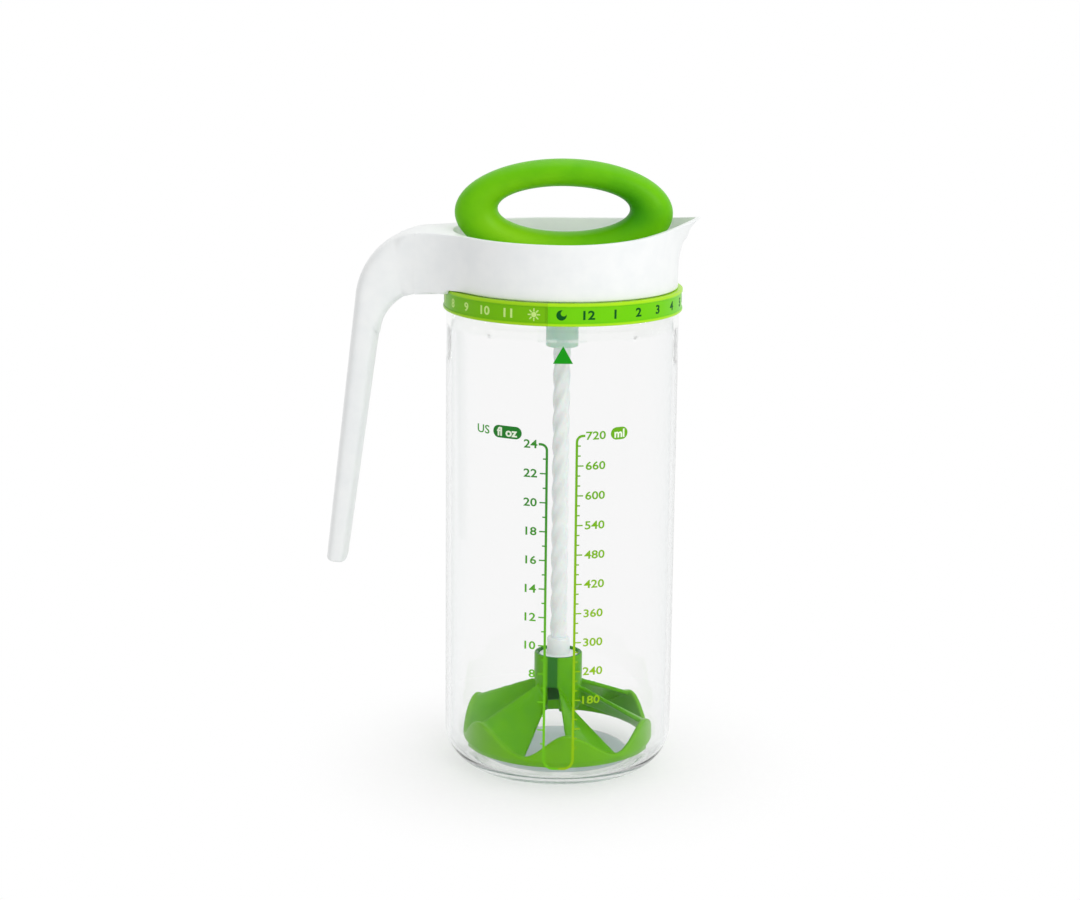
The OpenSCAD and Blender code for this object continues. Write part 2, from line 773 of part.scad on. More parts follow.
// One blade: a ruled panel that falls from its high edge to its low edge.
module blade_panel() {
    inner_r = hub_base_r - hub_wall / 2;
    outer_r = mixer_r - blade_t / 2;
    steps = 6;
    rings = [
        for (i = [0:steps])
            let (f = i / steps,
                 a_in = f * blade_fill_in * blade_pitch - blade_lead,
                 a_out = f * blade_fill_out * blade_pitch,
                 z_in = mixer_z + mix(blade_high_in, blade_low_in, f),
                 z_out = skirt_top(a_out) - blade_drop)
                [
                    polar(inner_r, a_in, z_in - blade_t),
                    polar(outer_r, a_out, z_out - blade_t),
                    polar(outer_r, a_out, z_out),
                    polar(inner_r, a_in, z_in)
                ]
    ];
    loft(rings);
}

module mixer_hub() {
    difference() {
        union() {
            translate([0, 0, foot_z]) cylinder(r = hub_r, h = hub_top_z - foot_z);
            translate([0, 0, hub_z]) cylinder(r1 = hub_base_r, r2 = hub_r, h = foot_z - hub_z + tiny);
        }
        translate([0, 0, foot_z]) cylinder(r = hub_bore_r, h = hub_h);
        translate([0, 0, hub_z - 1]) cylinder(r = hub_base_r - hub_wall, h = hub_slot_h + 1);
        rotate([0, 0, from_front(hub_slot_az)]) translate([0, -hub_slot_w / 2, hub_z - 1]) {
            cube([hub_r + 1, hub_slot_w, hub_slot_h + 1]);
            translate([hub_r - hub_groove_d, 0, 0]) cube([hub_groove_d + 1, hub_slot_w, hub_h + 2]);
        }
    }
}

module mixer() {
    color([0.36, 0.72, 0.05]) {
        mixer_hub();
        mixer_skirt();
        for (i = [0:blade_count - 1])
            rotate([0, 0, from_front(blade_az) + i * blade_pitch]) blade_panel();
    }
}

jar_body();
jar_neck();
fl_oz_scale();
ml_scale();
fl_oz_badge();
ml_badge();
time_pointer();
ring_day_half();
ring_night_half();
lid_collar();
lid_handle();
lid_deck();
lid_gasket();
shaft_guide_nut();
shaft_wiper();
plunger_loop();
swivel_cap();
swivel_washer();
shaft_head();
twist_shaft();
shaft_foot();
mixer();
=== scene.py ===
"""The looks of the baby formula mixing pitcher.

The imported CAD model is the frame, and every piece here stands where it does.
Lengths are millimetres until a mesh or a material is written, in the CAD
source's own terms: +Z up, the pouring lip towards +X, the handle towards -X
and the graduations towards -Y. A direction "from the front" is counted in
degrees from -Y towards +X.
"""

import math

import bmesh
import bpy
import numpy as np
from mathutils import Matrix, Vector


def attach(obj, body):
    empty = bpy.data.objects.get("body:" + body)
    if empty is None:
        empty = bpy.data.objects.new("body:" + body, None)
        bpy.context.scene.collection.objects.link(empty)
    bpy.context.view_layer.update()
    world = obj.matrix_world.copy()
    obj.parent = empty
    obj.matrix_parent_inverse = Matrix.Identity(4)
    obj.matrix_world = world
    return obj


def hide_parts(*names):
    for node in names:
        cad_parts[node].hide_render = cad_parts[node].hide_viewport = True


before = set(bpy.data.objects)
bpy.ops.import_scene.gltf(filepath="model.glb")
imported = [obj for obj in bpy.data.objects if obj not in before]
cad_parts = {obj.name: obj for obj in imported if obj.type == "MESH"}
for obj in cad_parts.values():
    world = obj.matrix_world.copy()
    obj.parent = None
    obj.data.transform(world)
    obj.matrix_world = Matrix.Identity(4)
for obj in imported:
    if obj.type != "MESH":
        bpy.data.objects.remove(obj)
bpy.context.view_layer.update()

MM = 0.001
# Which output of a place's coordinates.
X, Z = 0, 2
# Directions at which a small round piece has points.
SMALL_TURNS = 96

# ---- The jar ----
JAR_R = 43.5
JAR_WALL = 2.0
FLOOR_TOP = 3.5
FOOT_CORNER = 15.0
FLOOR_CORNER = 10.0
SHOULDER_Z = 177.0
SHOULDER_ROUND = 1.8
NECK_R = 40.2
NECK_TOP = 198.0
BORE_R = JAR_R - JAR_WALL
NECK_BORE = NECK_R - JAR_WALL
UNDER_SHOULDER_Z = SHOULDER_Z - JAR_WALL

# ---- The printed scales ----
INK_R = 43.53
NUMERAL_R = INK_R + 0.02
BADGE_LETTER_R = INK_R + 0.12
SCALE_ZERO = 4.3
FL_OZ_ML = 29.27
NUMERAL_H = 3.15
FL_OZ_START, ML_START = 8.9, 8.7
BADGE_Z = 137.6
US_AZ, FL_OZ_AZ, ML_AZ = -41.0, -27.2, 28.5

# ---- The time-tracking ring ----
RING_Z, RING_TOP = 177.3, 185.6
RING_BORE, RING_R = 40.5, 44.7
RING_BEAD, RING_RECESS, RING_STEP = 1.2, 0.35, 0.15
RING_SPLIT = -7.4
HALF_GAP, RIB_START, RIB_SWEEP = 0.04, 0.05, 0.45
BAND_R = RING_R - RING_RECESS
HOURS = ["12"] + [str(hour) for hour in range(1, 12)]
HOUR_H, ICON_H = 3.3, 4.6

# ---- The lid ----
COLLAR_Z, COLLAR_R, COLLAR_BORE = 185.9, 42.9, 40.6
RIM_Z, RIM_WALL = 206.1, 2.0
LEDGE_Z, LEDGE_R = 200.3, 39.6
LIP_RISE, LIP_REACH, LIP_SPREAD, LIP_DEPTH = 5.7, 8.05, 38.0, 13.0
HANDLE_RISE = 0.3
FAIRING_R = 40.0
RING_CLEAR_R = 45.1
ROOT_START, ROOT_RUN = 1.1, 1.5
CUT_ROUND, EDGE_ROUND, FAIRING_ROUND = 0.55, 0.9, 1.7

# ---- The handle ----
BEND_X, BEND_Z, BEND_R = 50.3, 179.4, 27.0
INNER_BEND_Z, INNER_BEND_R = 165.2, 19.0
LEAN = math.radians(6.5)
LEG_T, TIP_T, TIP_Z = 10.4, 7.6, 81.7
HANDLE_HALF_W = 10.2
HANDLE_CUT_X = 55.0
HANDLE_LAP = 0.7
LEG_SQUARE, BEND_SQUARE, ROOT_SQUARE = 3.4, 5.0, 25.0
TIP_ROUND = 1.3

# ---- The guide nut ----
NUT_R, NUT_Z, NUT_FLANGE_R, NUT_FLANGE_T = 6.1, 163.0, 9.6, 1.9
NUT_GRIP_R, NUT_GRIP_H, NUT_RELIEF_R = 3.65, 12.0, 4.1
WIPER_SEAT_R, WIPER_SEAT_D = 5.1, 1.43
DECK_UNDER, BOWL_Z = 188.0, 190.0

# ---- The plunger, bar and mixer ----
LOOP_W, LOOP_H, LOOP_D, LOOP_Z = 81.0, 39.8, 15.4, 212.9
HOLE_W, HOLE_H, HOLE_Z = 49.0, 17.0, 214.25
LOOP_MIDDLE_Z, LOOP_SQUARE = 213.6, 0.92
BOSS_R, BOSS_Z, SOCKET_R, SOCKET_TOP = 8.0, 190.3, 5.6, 198.9
BAR_R, BAR_GROOVE, BAR_LEAD, BAR_Z, BAR_TOP = 3.3, 0.6, 35.6, 49.4, 190.0
BAR_LOBES = 4
PLAIN_R, FOOT_R, FOOT_DROP = 4.4, 7.6, 0.8
MIXER_Z, HUB_TOP, HUB_Z = 8.5, 43.4, 21.3
HUB_R, HUB_BASE_R, HUB_BORE, HUB_WALL = 9.23, 8.23, 7.63, 1.6
SLOT_W, SLOT_H, SLOT_AZ, GROOVE_D = 4.7, 9.7, -15.0, 0.7
SLOT_TOP = HUB_Z + SLOT_H
FOOT_Z = SLOT_TOP + 2.0
MIXER_R, MIXER_BASE_R, BLADE_T = 36.5, 35.0, 1.8
BLADES, BLADE_AZ, BLADE_LEAD = 6, 4.5, 5.0
BLADE_PITCH = 360.0 / BLADES
PANEL_OUT, PANEL_IN = 0.57 * BLADE_PITCH, 0.45 * BLADE_PITCH
HIGH_IN, HIGH_OUT, LOW_IN, LOW_OUT, BLADE_DROP = 24.1, 12.8, 16.5, 3.7, 0.7

# ---- The photograph's view ----
CAMERA_PLACE = (-0.0079, -0.8884, 0.3187)
CAMERA_DOWN, CAMERA_ROLL = math.radians(12.45), math.radians(0.61)
LENS_MM, FRAME_MM = 80.0, 36.0


# ---- Shapes as functions ----


def smooth(v):
    """0 below 0, 1 above 1, and 3v^2 - 2v^3 between."""
    v = np.clip(v, 0, 1)
    return v * v * (3 - 2 * v)


def mix(a, b, t):
    """a at t = 0 and b at t = 1, in proportion between."""
    return a + (b - a) * t


def signed_power(v, p):
    """|v|^p with the sign of v."""
    return np.sign(v) * np.abs(v) ** p


def turned(r, a, z):
    """Points at radius r, direction a from the front in radians, and height z."""
    return np.stack([r * np.sin(a), -r * np.cos(a), z + 0 * a], -1)


def rounded(corners, radii, steps=6):
    """A closed outline with each corner replaced by an arc.

    The arc leaves an edge at radius / tan(half the corner's angle) from the
    corner, or at just under half the edge if that is shorter. Between its
    ends A and B it is the weighted curve
    ((1-t)^2 A + 2wt(1-t) C + t^2 B) / ((1-t)^2 + 2wt(1-t) + t^2),
    w the sine of half the corner's angle, which is an exact circle.
    Corners are (..., k, 2), so that many outlines are rounded at once.
    """
    corners = np.asarray(corners, float)
    radii = np.broadcast_to(np.asarray(radii, float), corners.shape[:-1])
    back = np.roll(corners, 1, axis=-2) - corners
    ahead = np.roll(corners, -1, axis=-2) - corners
    back_len = np.maximum(np.linalg.norm(back, axis=-1), 1e-9)
    ahead_len = np.maximum(np.linalg.norm(ahead, axis=-1), 1e-9)
    back, ahead = back / back_len[..., None], ahead / ahead_len[..., None]
    cosine = np.clip((back * ahead).sum(-1), -0.9999, 0.9999)
    room = 0.49 * np.minimum(back_len, ahead_len)
    cut = np.minimum(radii * np.sqrt((1 + cosine) / (1 - cosine)), room)[..., None]
    w = np.sqrt((1 - cosine) / 2)[..., None, None]
    a = (corners + back * cut)[..., None, :]
    b = (corners + ahead * cut)[..., None, :]
    c = corners[..., None, :]
    t = np.linspace(0, 1, steps + 1)[:, None]
    share_a, share_c, share_b = (1 - t) ** 2, 2 * w * t * (1 - t), t**2
    arcs = (share_a * a + share_c * c + share_b * b) / (share_a + share_c + share_b)
    return arcs.reshape(*corners.shape[:-2], -1, 2)


def profile(*corners, steps=6):
    """A closed outline from corners of (radius from the axis, height, roundness)."""
    corners = np.array(corners, float)
    return rounded(corners[:, :2], corners[:, 2], steps)


def skin(rows, close_rows=False, close_columns=True):
    """A patch of four-cornered faces over a grid of points, rows x columns x 3.

    Each face joins (i, j), (i, j+1), (i+1, j+1) and (i+1, j). The faces are
    turned to point outwards: the sum of a . (b x c) / 6 over their triangles,
    the volume inside, must be positive.
    """
    n, m = rows.shape[:2]
    index = np.arange(n * m).reshape(n, m)
    if close_rows:
        index = np.vstack([index, index[:1]])
    if close_columns:
        index = np.hstack([index, index[:, :1]])
    around = [index[:-1, :-1], index[:-1, 1:], index[1:, 1:], index[1:, :-1]]
    quads = np.stack(around, -1).reshape(-1, 4)
    points = rows.reshape(-1, 3).astype(float)
    a, b, c, d = (points[quads[:, k]] for k in range(4))
    volume = (a * np.cross(b, c)).sum() + (a * np.cross(c, d)).sum()
    return points, quads if volume > 0 else quads[:, ::-1]


def capped(rows):
    """Rows with their first and last drawn together to their middles, which closes the ends."""
    first, last = (
        np.repeat(rows[k].mean(0, keepdims=True), rows.shape[1], 0)[None] for k in (0, -1)
    )
    return np.concatenate([first, rows, last])


def lathe(outline, turns=192, start=0.0, sweep=360.0, solid=False):
    """An outline of (radius, height) pairs carried round the jar's axis.

    A solid outline starts and ends on the axis; any other is a closed loop.
    Less than a whole turn is closed at both ends.
    """
    whole = sweep >= 360
    a = np.radians(start + np.linspace(0, sweep, turns, endpoint=not whole))[:, None]
    rows = turned(outline[None, :, 0], a, outline[None, :, 1])
    return skin(rows if whole else capped(rows), close_rows=whole, close_columns=not solid)


def build(name, patches, finish, body, stands_for=(), crease=35.0):
    """One object from closed patches of points and faces, welded, with its finish and body."""
    points = np.concatenate([p for p, _ in patches]) * MM
    offsets = np.cumsum([0] + [len(p) for p, _ in patches[:-1]])
    quads = np.concatenate([q + shift for (_, q), shift in zip(patches, offsets)])
    mesh = bpy.data.meshes.new(name)
    mesh.vertices.add(len(points))
    mesh.vertices.foreach_set("co", points.astype(np.float32).ravel())
    mesh.loops.add(quads.size)
    mesh.loops.foreach_set("vertex_index", quads.astype(np.int32).ravel())
    mesh.polygons.add(len(quads))
    mesh.polygons.foreach_set("loop_start", np.arange(0, quads.size, 4, dtype=np.int32))
    mesh.update(calc_edges=True)
    weld(mesh)
    return finished(mesh, name, finish, body, stands_for, crease)


def weld(mesh, gap=2e-7):
    """Merges points that lie together and drops the faces that this leaves flat."""
    bm = bmesh.new()
    bm.from_mesh(mesh)
    bmesh.ops.remove_doubles(bm, verts=bm.verts, dist=gap)
    bmesh.ops.dissolve_degenerate(bm, edges=bm.edges, dist=gap)
    bm.to_mesh(mesh)
    bm.free()


def finished(mesh, name, finish, body, stands_for=(), crease=35.0):
    """An object for a mesh, shaded smooth up to the crease angle, riding on its body."""
    material, slot = finish
    mesh.materials.clear()
    mesh.materials.append(material)
    mesh.shade_smooth()
    mesh.set_sharp_from_angle(angle=math.radians(crease))
    piece = bpy.data.objects.new(name, mesh)
    bpy.context.scene.collection.objects.link(piece)
    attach(piece, body)
    if stands_for:
        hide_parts(*stands_for)
    return piece


def evaluated(piece):
    """A new mesh of an object as its modifiers or its text leave it."""
    view = bpy.context.evaluated_depsgraph_get()
    return bpy.data.meshes.new_from_object(piece.evaluated_get(view))


# ---- Materials ----


def srgb(red, green, blue):
    """A colour of 0 to 255 a channel as the linear colour that the nodes use."""
    part = np.array([red, green, blue]) / 255.0
    linear = np.where(part <= 0.04045, part / 12.92, ((part + 0.055) / 1.055) ** 2.4)
    return (*(float(v) for v in linear), 1.0)


class Wire:
    """A socket whose arithmetic adds Math nodes to its material."""

    def __init__(self, graph, socket):
        self.graph = graph
        self.socket = socket

    def math(self, operation, *others, clamp=False):
        settings = {"operation": operation, "use_clamp": clamp}
        return self.graph.node("ShaderNodeMath", settings, dict(enumerate((self, *others))))

    def __add__(self, other):
        return self.math("ADD", other)

    __radd__ = __add__

    def __mul__(self, other):
        return self.math("MULTIPLY", other)

    def __sub__(self, other):
        return self.math("SUBTRACT", other)

    def __rsub__(self, other):
        return (self * -1.0) + other

    def __truediv__(self, other):
        return self.math("DIVIDE", other)

    def __pow__(self, other):
        return self.math("POWER", other)

    def clamped(self):
        return self.math("ADD", 0.0, clamp=True)

    def step(self, low, high):
        """0 below low, 1 above high and smooth between."""
        settings = {"interpolation_type": "SMOOTHSTEP"}
        return self.graph.node(
            "ShaderNodeMapRange", settings, {0: self, 1: low, 2: high, 3: 0.0, 4: 1.0}
        )

    def past(self, low, high):
        """The step for a length in metres, its limits given in millimetres."""
        return self.step(low * MM, high * MM)


class Graph:
    """The nodes of one material or of the world."""

    def __init__(self, owner):
        owner.use_nodes = True
        self.tree = owner.node_tree
        self.tree.nodes.clear()

    def node(self, kind, settings=None, sockets=None, out=0):
        """Adds a node of a type, sets its settings, then its sockets' values or links."""
        node = self.tree.nodes.new(kind)
        for key, value in (settings or {}).items():
            setattr(node, key, value)
        for key, value in (sockets or {}).items():
            if isinstance(value, Wire):
                self.tree.links.new(value.socket, node.inputs[key])
            else:
                node.inputs[key].default_value = value
        return Wire(self, node.outputs[out]) if node.outputs else node

    def place(self):
        return self.node("ShaderNodeTexCoord", out="Object")

    def stretched(self, x, y, z):
        """The object's own coordinates, each times a number."""
        return self.node(
            "ShaderNodeMapping", sockets={"Vector": self.place(), "Scale": (x, y, z)}
        )

    def along(self, axis):
        """The place along the X or Z axis, in metres."""
        return self.node("ShaderNodeSeparateXYZ", sockets={0: self.place()}, out=axis)

    def length(self, vector):
        return self.node(
            "ShaderNodeVectorMath", {"operation": "LENGTH"}, {0: vector}, out="Value"
        )

    def radius(self):
        """Distance from the jar's axis, in metres."""
        return self.length(self.stretched(1.0, 1.0, 0.0))

    def noise(self, scale, detail=2.0, place=None):
        sockets = {"Scale": scale, "Detail": detail, "Roughness": 0.55}
        return self.node("ShaderNodeTexNoise", sockets={"Vector": place or self.place(), **sockets})

    def blend(self, factor, a, b):
        """Colour a where the factor is 0 and b where it is 1."""
        return self.node("ShaderNodeMix", {"data_type": "RGBA"}, {0: factor, 6: a, 7: b}, out=2)

    def drift(self, scale, colour, shade, gain=2.2):
        """A colour that drifts towards a shade of it in soft clouds."""
        return self.blend(((self.noise(scale) - 0.35) * gain).clamped(), colour, shade)

    def bump(self, height, distance, strength=1.0):
        sockets = {"Height": height, "Distance": distance, "Strength": strength}
        return self.node("ShaderNodeBump", sockets=sockets)

    def surface(self, colour, roughness, **more):
        """The standard surface. Any other socket is named with _ for a space."""
        sockets = {"Base Color": colour, "Roughness": roughness}
        sockets.update({key.replace("_", " "): value for key, value in more.items()})
        return self.node("ShaderNodeBsdfPrincipled", sockets=sockets)

    def moulded(self, colour, roughness, flow, grain, depth=4e-6, **more):
        """A moulded surface: flow marks and a fine grain vary its gloss and its skin."""
        gloss = roughness + (flow - 0.5) * 0.16 + (grain - 0.5) * 0.08
        return self.surface(colour, gloss, Normal=self.bump(grain + flow * 0.6, depth), **more)

    def see_through(self, colour):
        return self.node("ShaderNodeBsdfTransparent", sockets={"Color": colour})

    def mixed(self, factor, a, b):
        """Shader a where the factor is 0 and b where it is 1."""
        return self.node("ShaderNodeMixShader", sockets={0: factor, 1: a, 2: b})

    def rays(self, *kinds):
        """1 for a ray of any of the kinds, and 0 for others."""
        either, *others = (
            self.node("ShaderNodeLightPath", out=f"Is {kind} Ray") for kind in kinds
        )
        for way in others:
            either = either.math("MAXIMUM", way)
        return either

    def show(self, shader, kind="ShaderNodeOutputMaterial"):
        self.node(kind, sockets={"Surface": shader})


def new_graph(name):
    material = bpy.data.materials.new(name)
    return material, Graph(material)


def moulded(name, colour, shade, roughness, **more):
    """Moulded plastic: a drifting colour, upright flow marks and a fine skin."""
    material, graph = new_graph(name)
    body = graph.drift(140.0, colour, shade)
    flow = graph.noise(38.0, 4.0, graph.stretched(1.0, 1.0, 0.35))
    graph.show(graph.moulded(body, roughness, flow, graph.noise(2600.0), **more))
    return material


def ink(name, low_colour, high_colour, low_z=30.0, high_z=150.0):
    """Printed ink: one colour low down and another high up, thin in specks, a little raised."""
    material, graph = new_graph(name)
    speck = graph.noise(5200.0)
    full = graph.blend(graph.along(Z).past(low_z, high_z), low_colour, high_colour)
    thin = graph.node(
        "ShaderNodeHueSaturation", sockets={"Saturation": 0.92, "Value": 1.12, "Color": full}
    )
    graph.show(
        graph.surface(
            graph.blend(speck.step(0.55, 0.8), full, thin),
            0.42 + (speck - 0.5) * 0.2,
            Normal=graph.bump(speck, 6e-6),
            Specular_IOR_Level=0.1,
        )
    )
    return material


def plain_ink(name, colour):
    """Printed ink of one colour."""
    return ink(name, colour, colour)


def ring_plastic(name, band, bead_highlight):
    """The ring's satin plastic: deeper in the band, with a painted highlight that makes its beads
    paler where light gathers.
    """
    material, graph = new_graph(name)
    z = graph.along(Z)
    low, high = RING_Z + RING_BEAD, RING_TOP - RING_BEAD
    # Painted highlight: the beads are blended towards a paler colour, where light gathers.
    in_bead = (1 - z.past(low - 0.6, low + 0.2)) + z.past(high - 0.2, high + 0.6)
    cloud, grain = graph.noise(120.0), graph.noise(2400.0)
    graph.show(
        graph.surface(
            graph.blend((in_bead * 0.85 + (cloud - 0.5) * 0.2).clamped(), band, bead_highlight),
            0.3 + (grain - 0.5) * 0.12,
            Normal=graph.bump(grain, 4e-6),
            Specular_IOR_Level=0.12,
        )
    )
    return material


def clear_plastic(name):
    """The jar's clear plastic.

    Light and shadow pass straight through, dimmed a little, and what the
    eye sees is bent by the real walls. Seen edge-on the plastic turns
    grey-green: partly its own tint, partly painted shade standing in for the
    dark edge lines that its surroundings would give. Faint wipe marks vary
    its gloss, and the middle of the base is frosted a little. The thick turn
    of the shoulder lets light straight through, and so does the wall below it
    where light inside the plastic meets it past the angle of total
    reflection, 41 degrees.
    """
    material, graph = new_graph(name)
    z = graph.along(Z)
    wipe = graph.noise(26.0, 4.0, graph.stretched(1.0, 1.0, 0.25))
    facing = graph.node("ShaderNodeLayerWeight", sockets={"Blend": 0.5}, out="Facing")
    from_inside = graph.node("ShaderNodeNewGeometry", out="Backfacing")
    gloss = 0.012 + (wipe - 0.5).math("MAXIMUM", 0.0) * 0.05
    optics = {
        "Normal": graph.bump(wipe, 2e-5, 0.3),
        "IOR": 1.52,
        "Transmission_Weight": 1.0,
        "Specular_Tint": (0.14, 0.14, 0.14, 1.0),
    }
    middle = graph.surface(srgb(251, 251, 251), gloss, **optics)
    # Partly the plastic's own tint, partly painted shade: grey-green where the walls are seen
    # edge-on.
    edge = graph.surface(srgb(205, 214, 214), gloss, **optics)
    walls = graph.mixed(facing**5.0, middle, edge)

    trapped = from_inside * facing.step(0.24, 0.28) * z.past(158.0, 160.0)
    in_shoulder = z.past(170.8, 172.6).math("MAXIMUM", trapped) * (1 - z.past(177.5, 178.0))
    clear = graph.see_through((0.97, 0.975, 0.97, 1.0))
    walls = graph.mixed(in_shoulder * 0.96, walls, clear)

    in_floor = (1 - z.past(4.0, 4.5)) * z.past(2.8, 3.0)
    in_disc = in_floor * (1 - graph.radius().past(26.5, 28.5))
    frost = graph.node("ShaderNodeBsdfTranslucent", sockets={"Color": srgb(176, 200, 200)})
    seen = graph.mixed(in_disc * (0.5 + wipe * 0.3), walls, frost)

    passed = graph.see_through((0.93, 0.94, 0.94, 1.0))
    graph.show(graph.mixed(graph.rays("Shadow", "Diffuse"), seen, passed))
    return material


def loop_plastic(name):
    """The plunger's soft green, with a painted highlight inside the loop's lower left and painted
    shade inside its right.

    The share of the way out is 1 on the ellipse halfway between the loop's
    outer outline and its hole's, and 0 in that ellipse's middle.
    """
    material, graph = new_graph(name)
    x, z = graph.along(X), graph.along(Z)
    u = x / ((LOOP_W + HOLE_W) / 4 * MM)
    v = (z - LOOP_MIDDLE_Z * MM) / ((LOOP_H + HOLE_H) / 4 * MM)
    out = (u * u + v * v) ** 0.5
    inside = 1 - out.step(0.78, 1.2)
    low = 1 - z.past(200.0, 215.0)
    right, left = x.past(4.0, 30.0), 1 - x.past(-30.0, 12.0)
    # Painted shade: darker green inside the loop's right, less of it low down.
    painted_shade = inside * right * (1 - low * 0.6)
    # Painted highlight: yellower inside the loop's lower left, most of it low down.
    pale = inside * left * (0.35 + low * 0.65)
    body = graph.drift(110.0, srgb(108, 192, 0), srgb(94, 182, 0))
    # The painted shade's deep green, then the painted highlight's yellow-green.
    body = graph.blend(painted_shade.clamped() * 0.8, body, srgb(30, 140, 0))
    body = graph.blend(pale.clamped() * 0.7, body, srgb(166, 228, 30))
    flow, grain = graph.noise(38.0, 4.0), graph.noise(3200.0)
    graph.show(graph.moulded(body, 0.42, flow, grain, 8e-6, Specular_IOR_Level=0.12))
    return material


def mixer_plastic(name):
    """The mixer's semi-gloss plastic: a little paler at the skirt, with painted shade within the
    hub.

    The painted shade is the dark of the cup with its groove above the top of the slot,
    and of what lies behind the slotted wall below it.
    """
    material, graph = new_graph(name)
    radius = graph.radius()
    in_cup = graph.along(Z).past(SLOT_TOP - 0.2, SLOT_TOP + 0.2)
    # Painted shade: the hub's cup and the space behind its slotted wall.
    painted_shade = in_cup * (1 - radius.past(8.7, 9.0)) + (1 - in_cup) * (1 - radius.past(6.6, 7.2))
    body = graph.drift(150.0, srgb(104, 186, 0), srgb(86, 170, 0), gain=2.0)
    body = graph.blend(radius.past(33.5, 35.5) * 0.3, body, srgb(140, 204, 30))
    # The painted shade's dark green.
    body = graph.blend(painted_shade.clamped() * 0.85, body, srgb(22, 112, 34))
    flow, grain = graph.noise(42.0, 4.0), graph.noise(2600.0)
    graph.show(graph.moulded(body, 0.3, flow, grain, Specular_IOR_Level=0.14))
    return material


def soft_rubber(name):
    """Matte silicone with a cloudy body and a dusty, fine-grained skin."""
    material, graph = new_graph(name)
    cloud = graph.noise(210.0, 3.0).step(0.3, 0.7)
    dust = graph.noise(3800.0)
    graph.show(
        graph.surface(
            graph.blend(cloud, srgb(214, 220, 220), srgb(226, 231, 230)),
            0.62 + (dust - 0.5) * 0.2,
            Normal=graph.bump(dust, 1.2e-5),
        )
    )
    return material


JAR_CLEAR = (clear_plastic("jar_clear_plastic"), "jar_clear")
DARK_INK = (
    ink("fl_oz_ink", srgb(112, 196, 24), srgb(58, 140, 44), 25.0, 120.0),
    "ink_dark_green",
)
LIME_INK = (ink("ml_ink", srgb(146, 192, 8), srgb(104, 172, 22)), "ink_lime")
BADGE_DARK = (plain_ink("fl_oz_badge_ink", srgb(34, 124, 40)), "ink_dark_green")
US_INK = (plain_ink("us_ink", srgb(70, 160, 50)), "ink_dark_green")
BADGE_INK = (plain_ink("badge_letter_ink", srgb(236, 246, 226)), "ink_lime")
POINTER_INK = (ink("pointer_ink", srgb(24, 156, 14), srgb(20, 150, 18)), "ink_green")
DAY_INK = (ink("day_hour_ink", srgb(190, 226, 118), srgb(196, 230, 130)), "ring_day")
NIGHT_INK = (ink("night_hour_ink", srgb(0, 92, 26), srgb(0, 88, 24)), "ring_night")
# Each ring half: its band colour, then the paler colour of its painted bead highlight.
RING_DAY = (ring_plastic("ring_day_plastic", srgb(114, 186, 0), srgb(168, 216, 30)), "ring_day")
RING_NIGHT = (
    ring_plastic("ring_night_plastic", srgb(112, 206, 0), srgb(180, 230, 30)),
    "ring_night",
)
LID_WHITE = (
    moulded("lid_white_plastic", srgb(240, 242, 242), srgb(234, 237, 238), 0.34, IOR=1.49),
    "lid_white",
)
SILICONE = (soft_rubber("seal_silicone_rubber"), "seal_silicone")
NUT_MILKY = (
    moulded(
        "nut_milky_plastic",
        srgb(214, 244, 230),
        srgb(200, 236, 220),
        0.4,
        Subsurface_Weight=0.35,
        Subsurface_Scale=0.004,
    ),
    "nut_milky",
)
SHAFT_WHITE = (
    moulded(
        "shaft_white_plastic",
        srgb(252, 255, 254),
        srgb(240, 249, 248),
        0.32,
        Subsurface_Weight=0.2,
        Subsurface_Scale=0.003,
    ),
    "shaft_white",
)
PLUNGER_GREEN = (loop_plastic("plunger_soft_green"), "plunger_green")
MIXER_GREEN = (mixer_plastic("mixer_green_plastic"), "mixer_green")


# ---- The jar ----


def jar_outline():
    """The jar's section, from the base's middle up the outside, over the neck, down the inside."""
    return subdivided(
        profile(
            (0, 0, 0),
            (JAR_R, 0, FOOT_CORNER),
            (JAR_R, SHOULDER_Z, SHOULDER_ROUND),
            (NECK_R, SHOULDER_Z, 0.5),
            (NECK_R, NECK_TOP, 0.7),
            (NECK_BORE, NECK_TOP, 0.7),
            (NECK_BORE, UNDER_SHOULDER_Z, 0.6),
            (BORE_R, UNDER_SHOULDER_Z, SHOULDER_ROUND),
            (BORE_R, FLOOR_TOP, FLOOR_CORNER),
            (0, FLOOR_TOP, 0),
            steps=12,
        )
    )


def subdivided(outline, longest=6.0):
    """An outline, from its first point to its last, with no stretch longer than a limit."""
    stretches = []
    for a, b in zip(outline[:-1], outline[1:]):
        steps = max(1, math.ceil(np.linalg.norm(b - a) / longest))
        stretches.append(mix(a, b, (np.arange(steps) / steps)[:, None]))
    return np.concatenate([*stretches, outline[-1:]])


build(
    "jar_glass",
    [lathe(jar_outline(), 256, solid=True)],
    JAR_CLEAR,
    "jar",
    ("jar_body", "jar_neck"),
    crease=30,
)


# ---- Lettering ----


def level(ml):
    """Height of the liquid's surface for a volume, the volume over the bore's area."""
    return SCALE_ZERO + ml * 1000 / (math.pi * BORE_R**2)


def letters(text, height, squeeze=1.22, weight=0.02):
    """A text's filled outlines, centred, `height` high: flat points and faces' corner lists."""
    curve = bpy.data.curves.new("letters", "FONT")
    curve.body = text
    curve.size = 1.0
    curve.offset = weight
    curve.resolution_u = 3
    curve.fill_mode = "FRONT"
    holder = bpy.data.objects.new("letters", curve)
    bpy.context.scene.collection.objects.link(holder)
    mesh = evaluated(holder)
    bpy.data.objects.remove(holder)
    bpy.data.curves.remove(curve)
    weld(mesh, 1e-5)
    flat = np.zeros(len(mesh.vertices) * 3, np.float32)
    mesh.vertices.foreach_get("co", flat)
    flat = flat.reshape(-1, 3)[:, :2].astype(float)
    faces = [list(face.vertices) for face in mesh.polygons]
    bpy.data.meshes.remove(mesh)
    low, high = flat.min(0), flat.max(0)
    scale = height / (high[1] - low[1])
    return (flat - (low + high) / 2) * scale * (squeeze, 1.0), faces


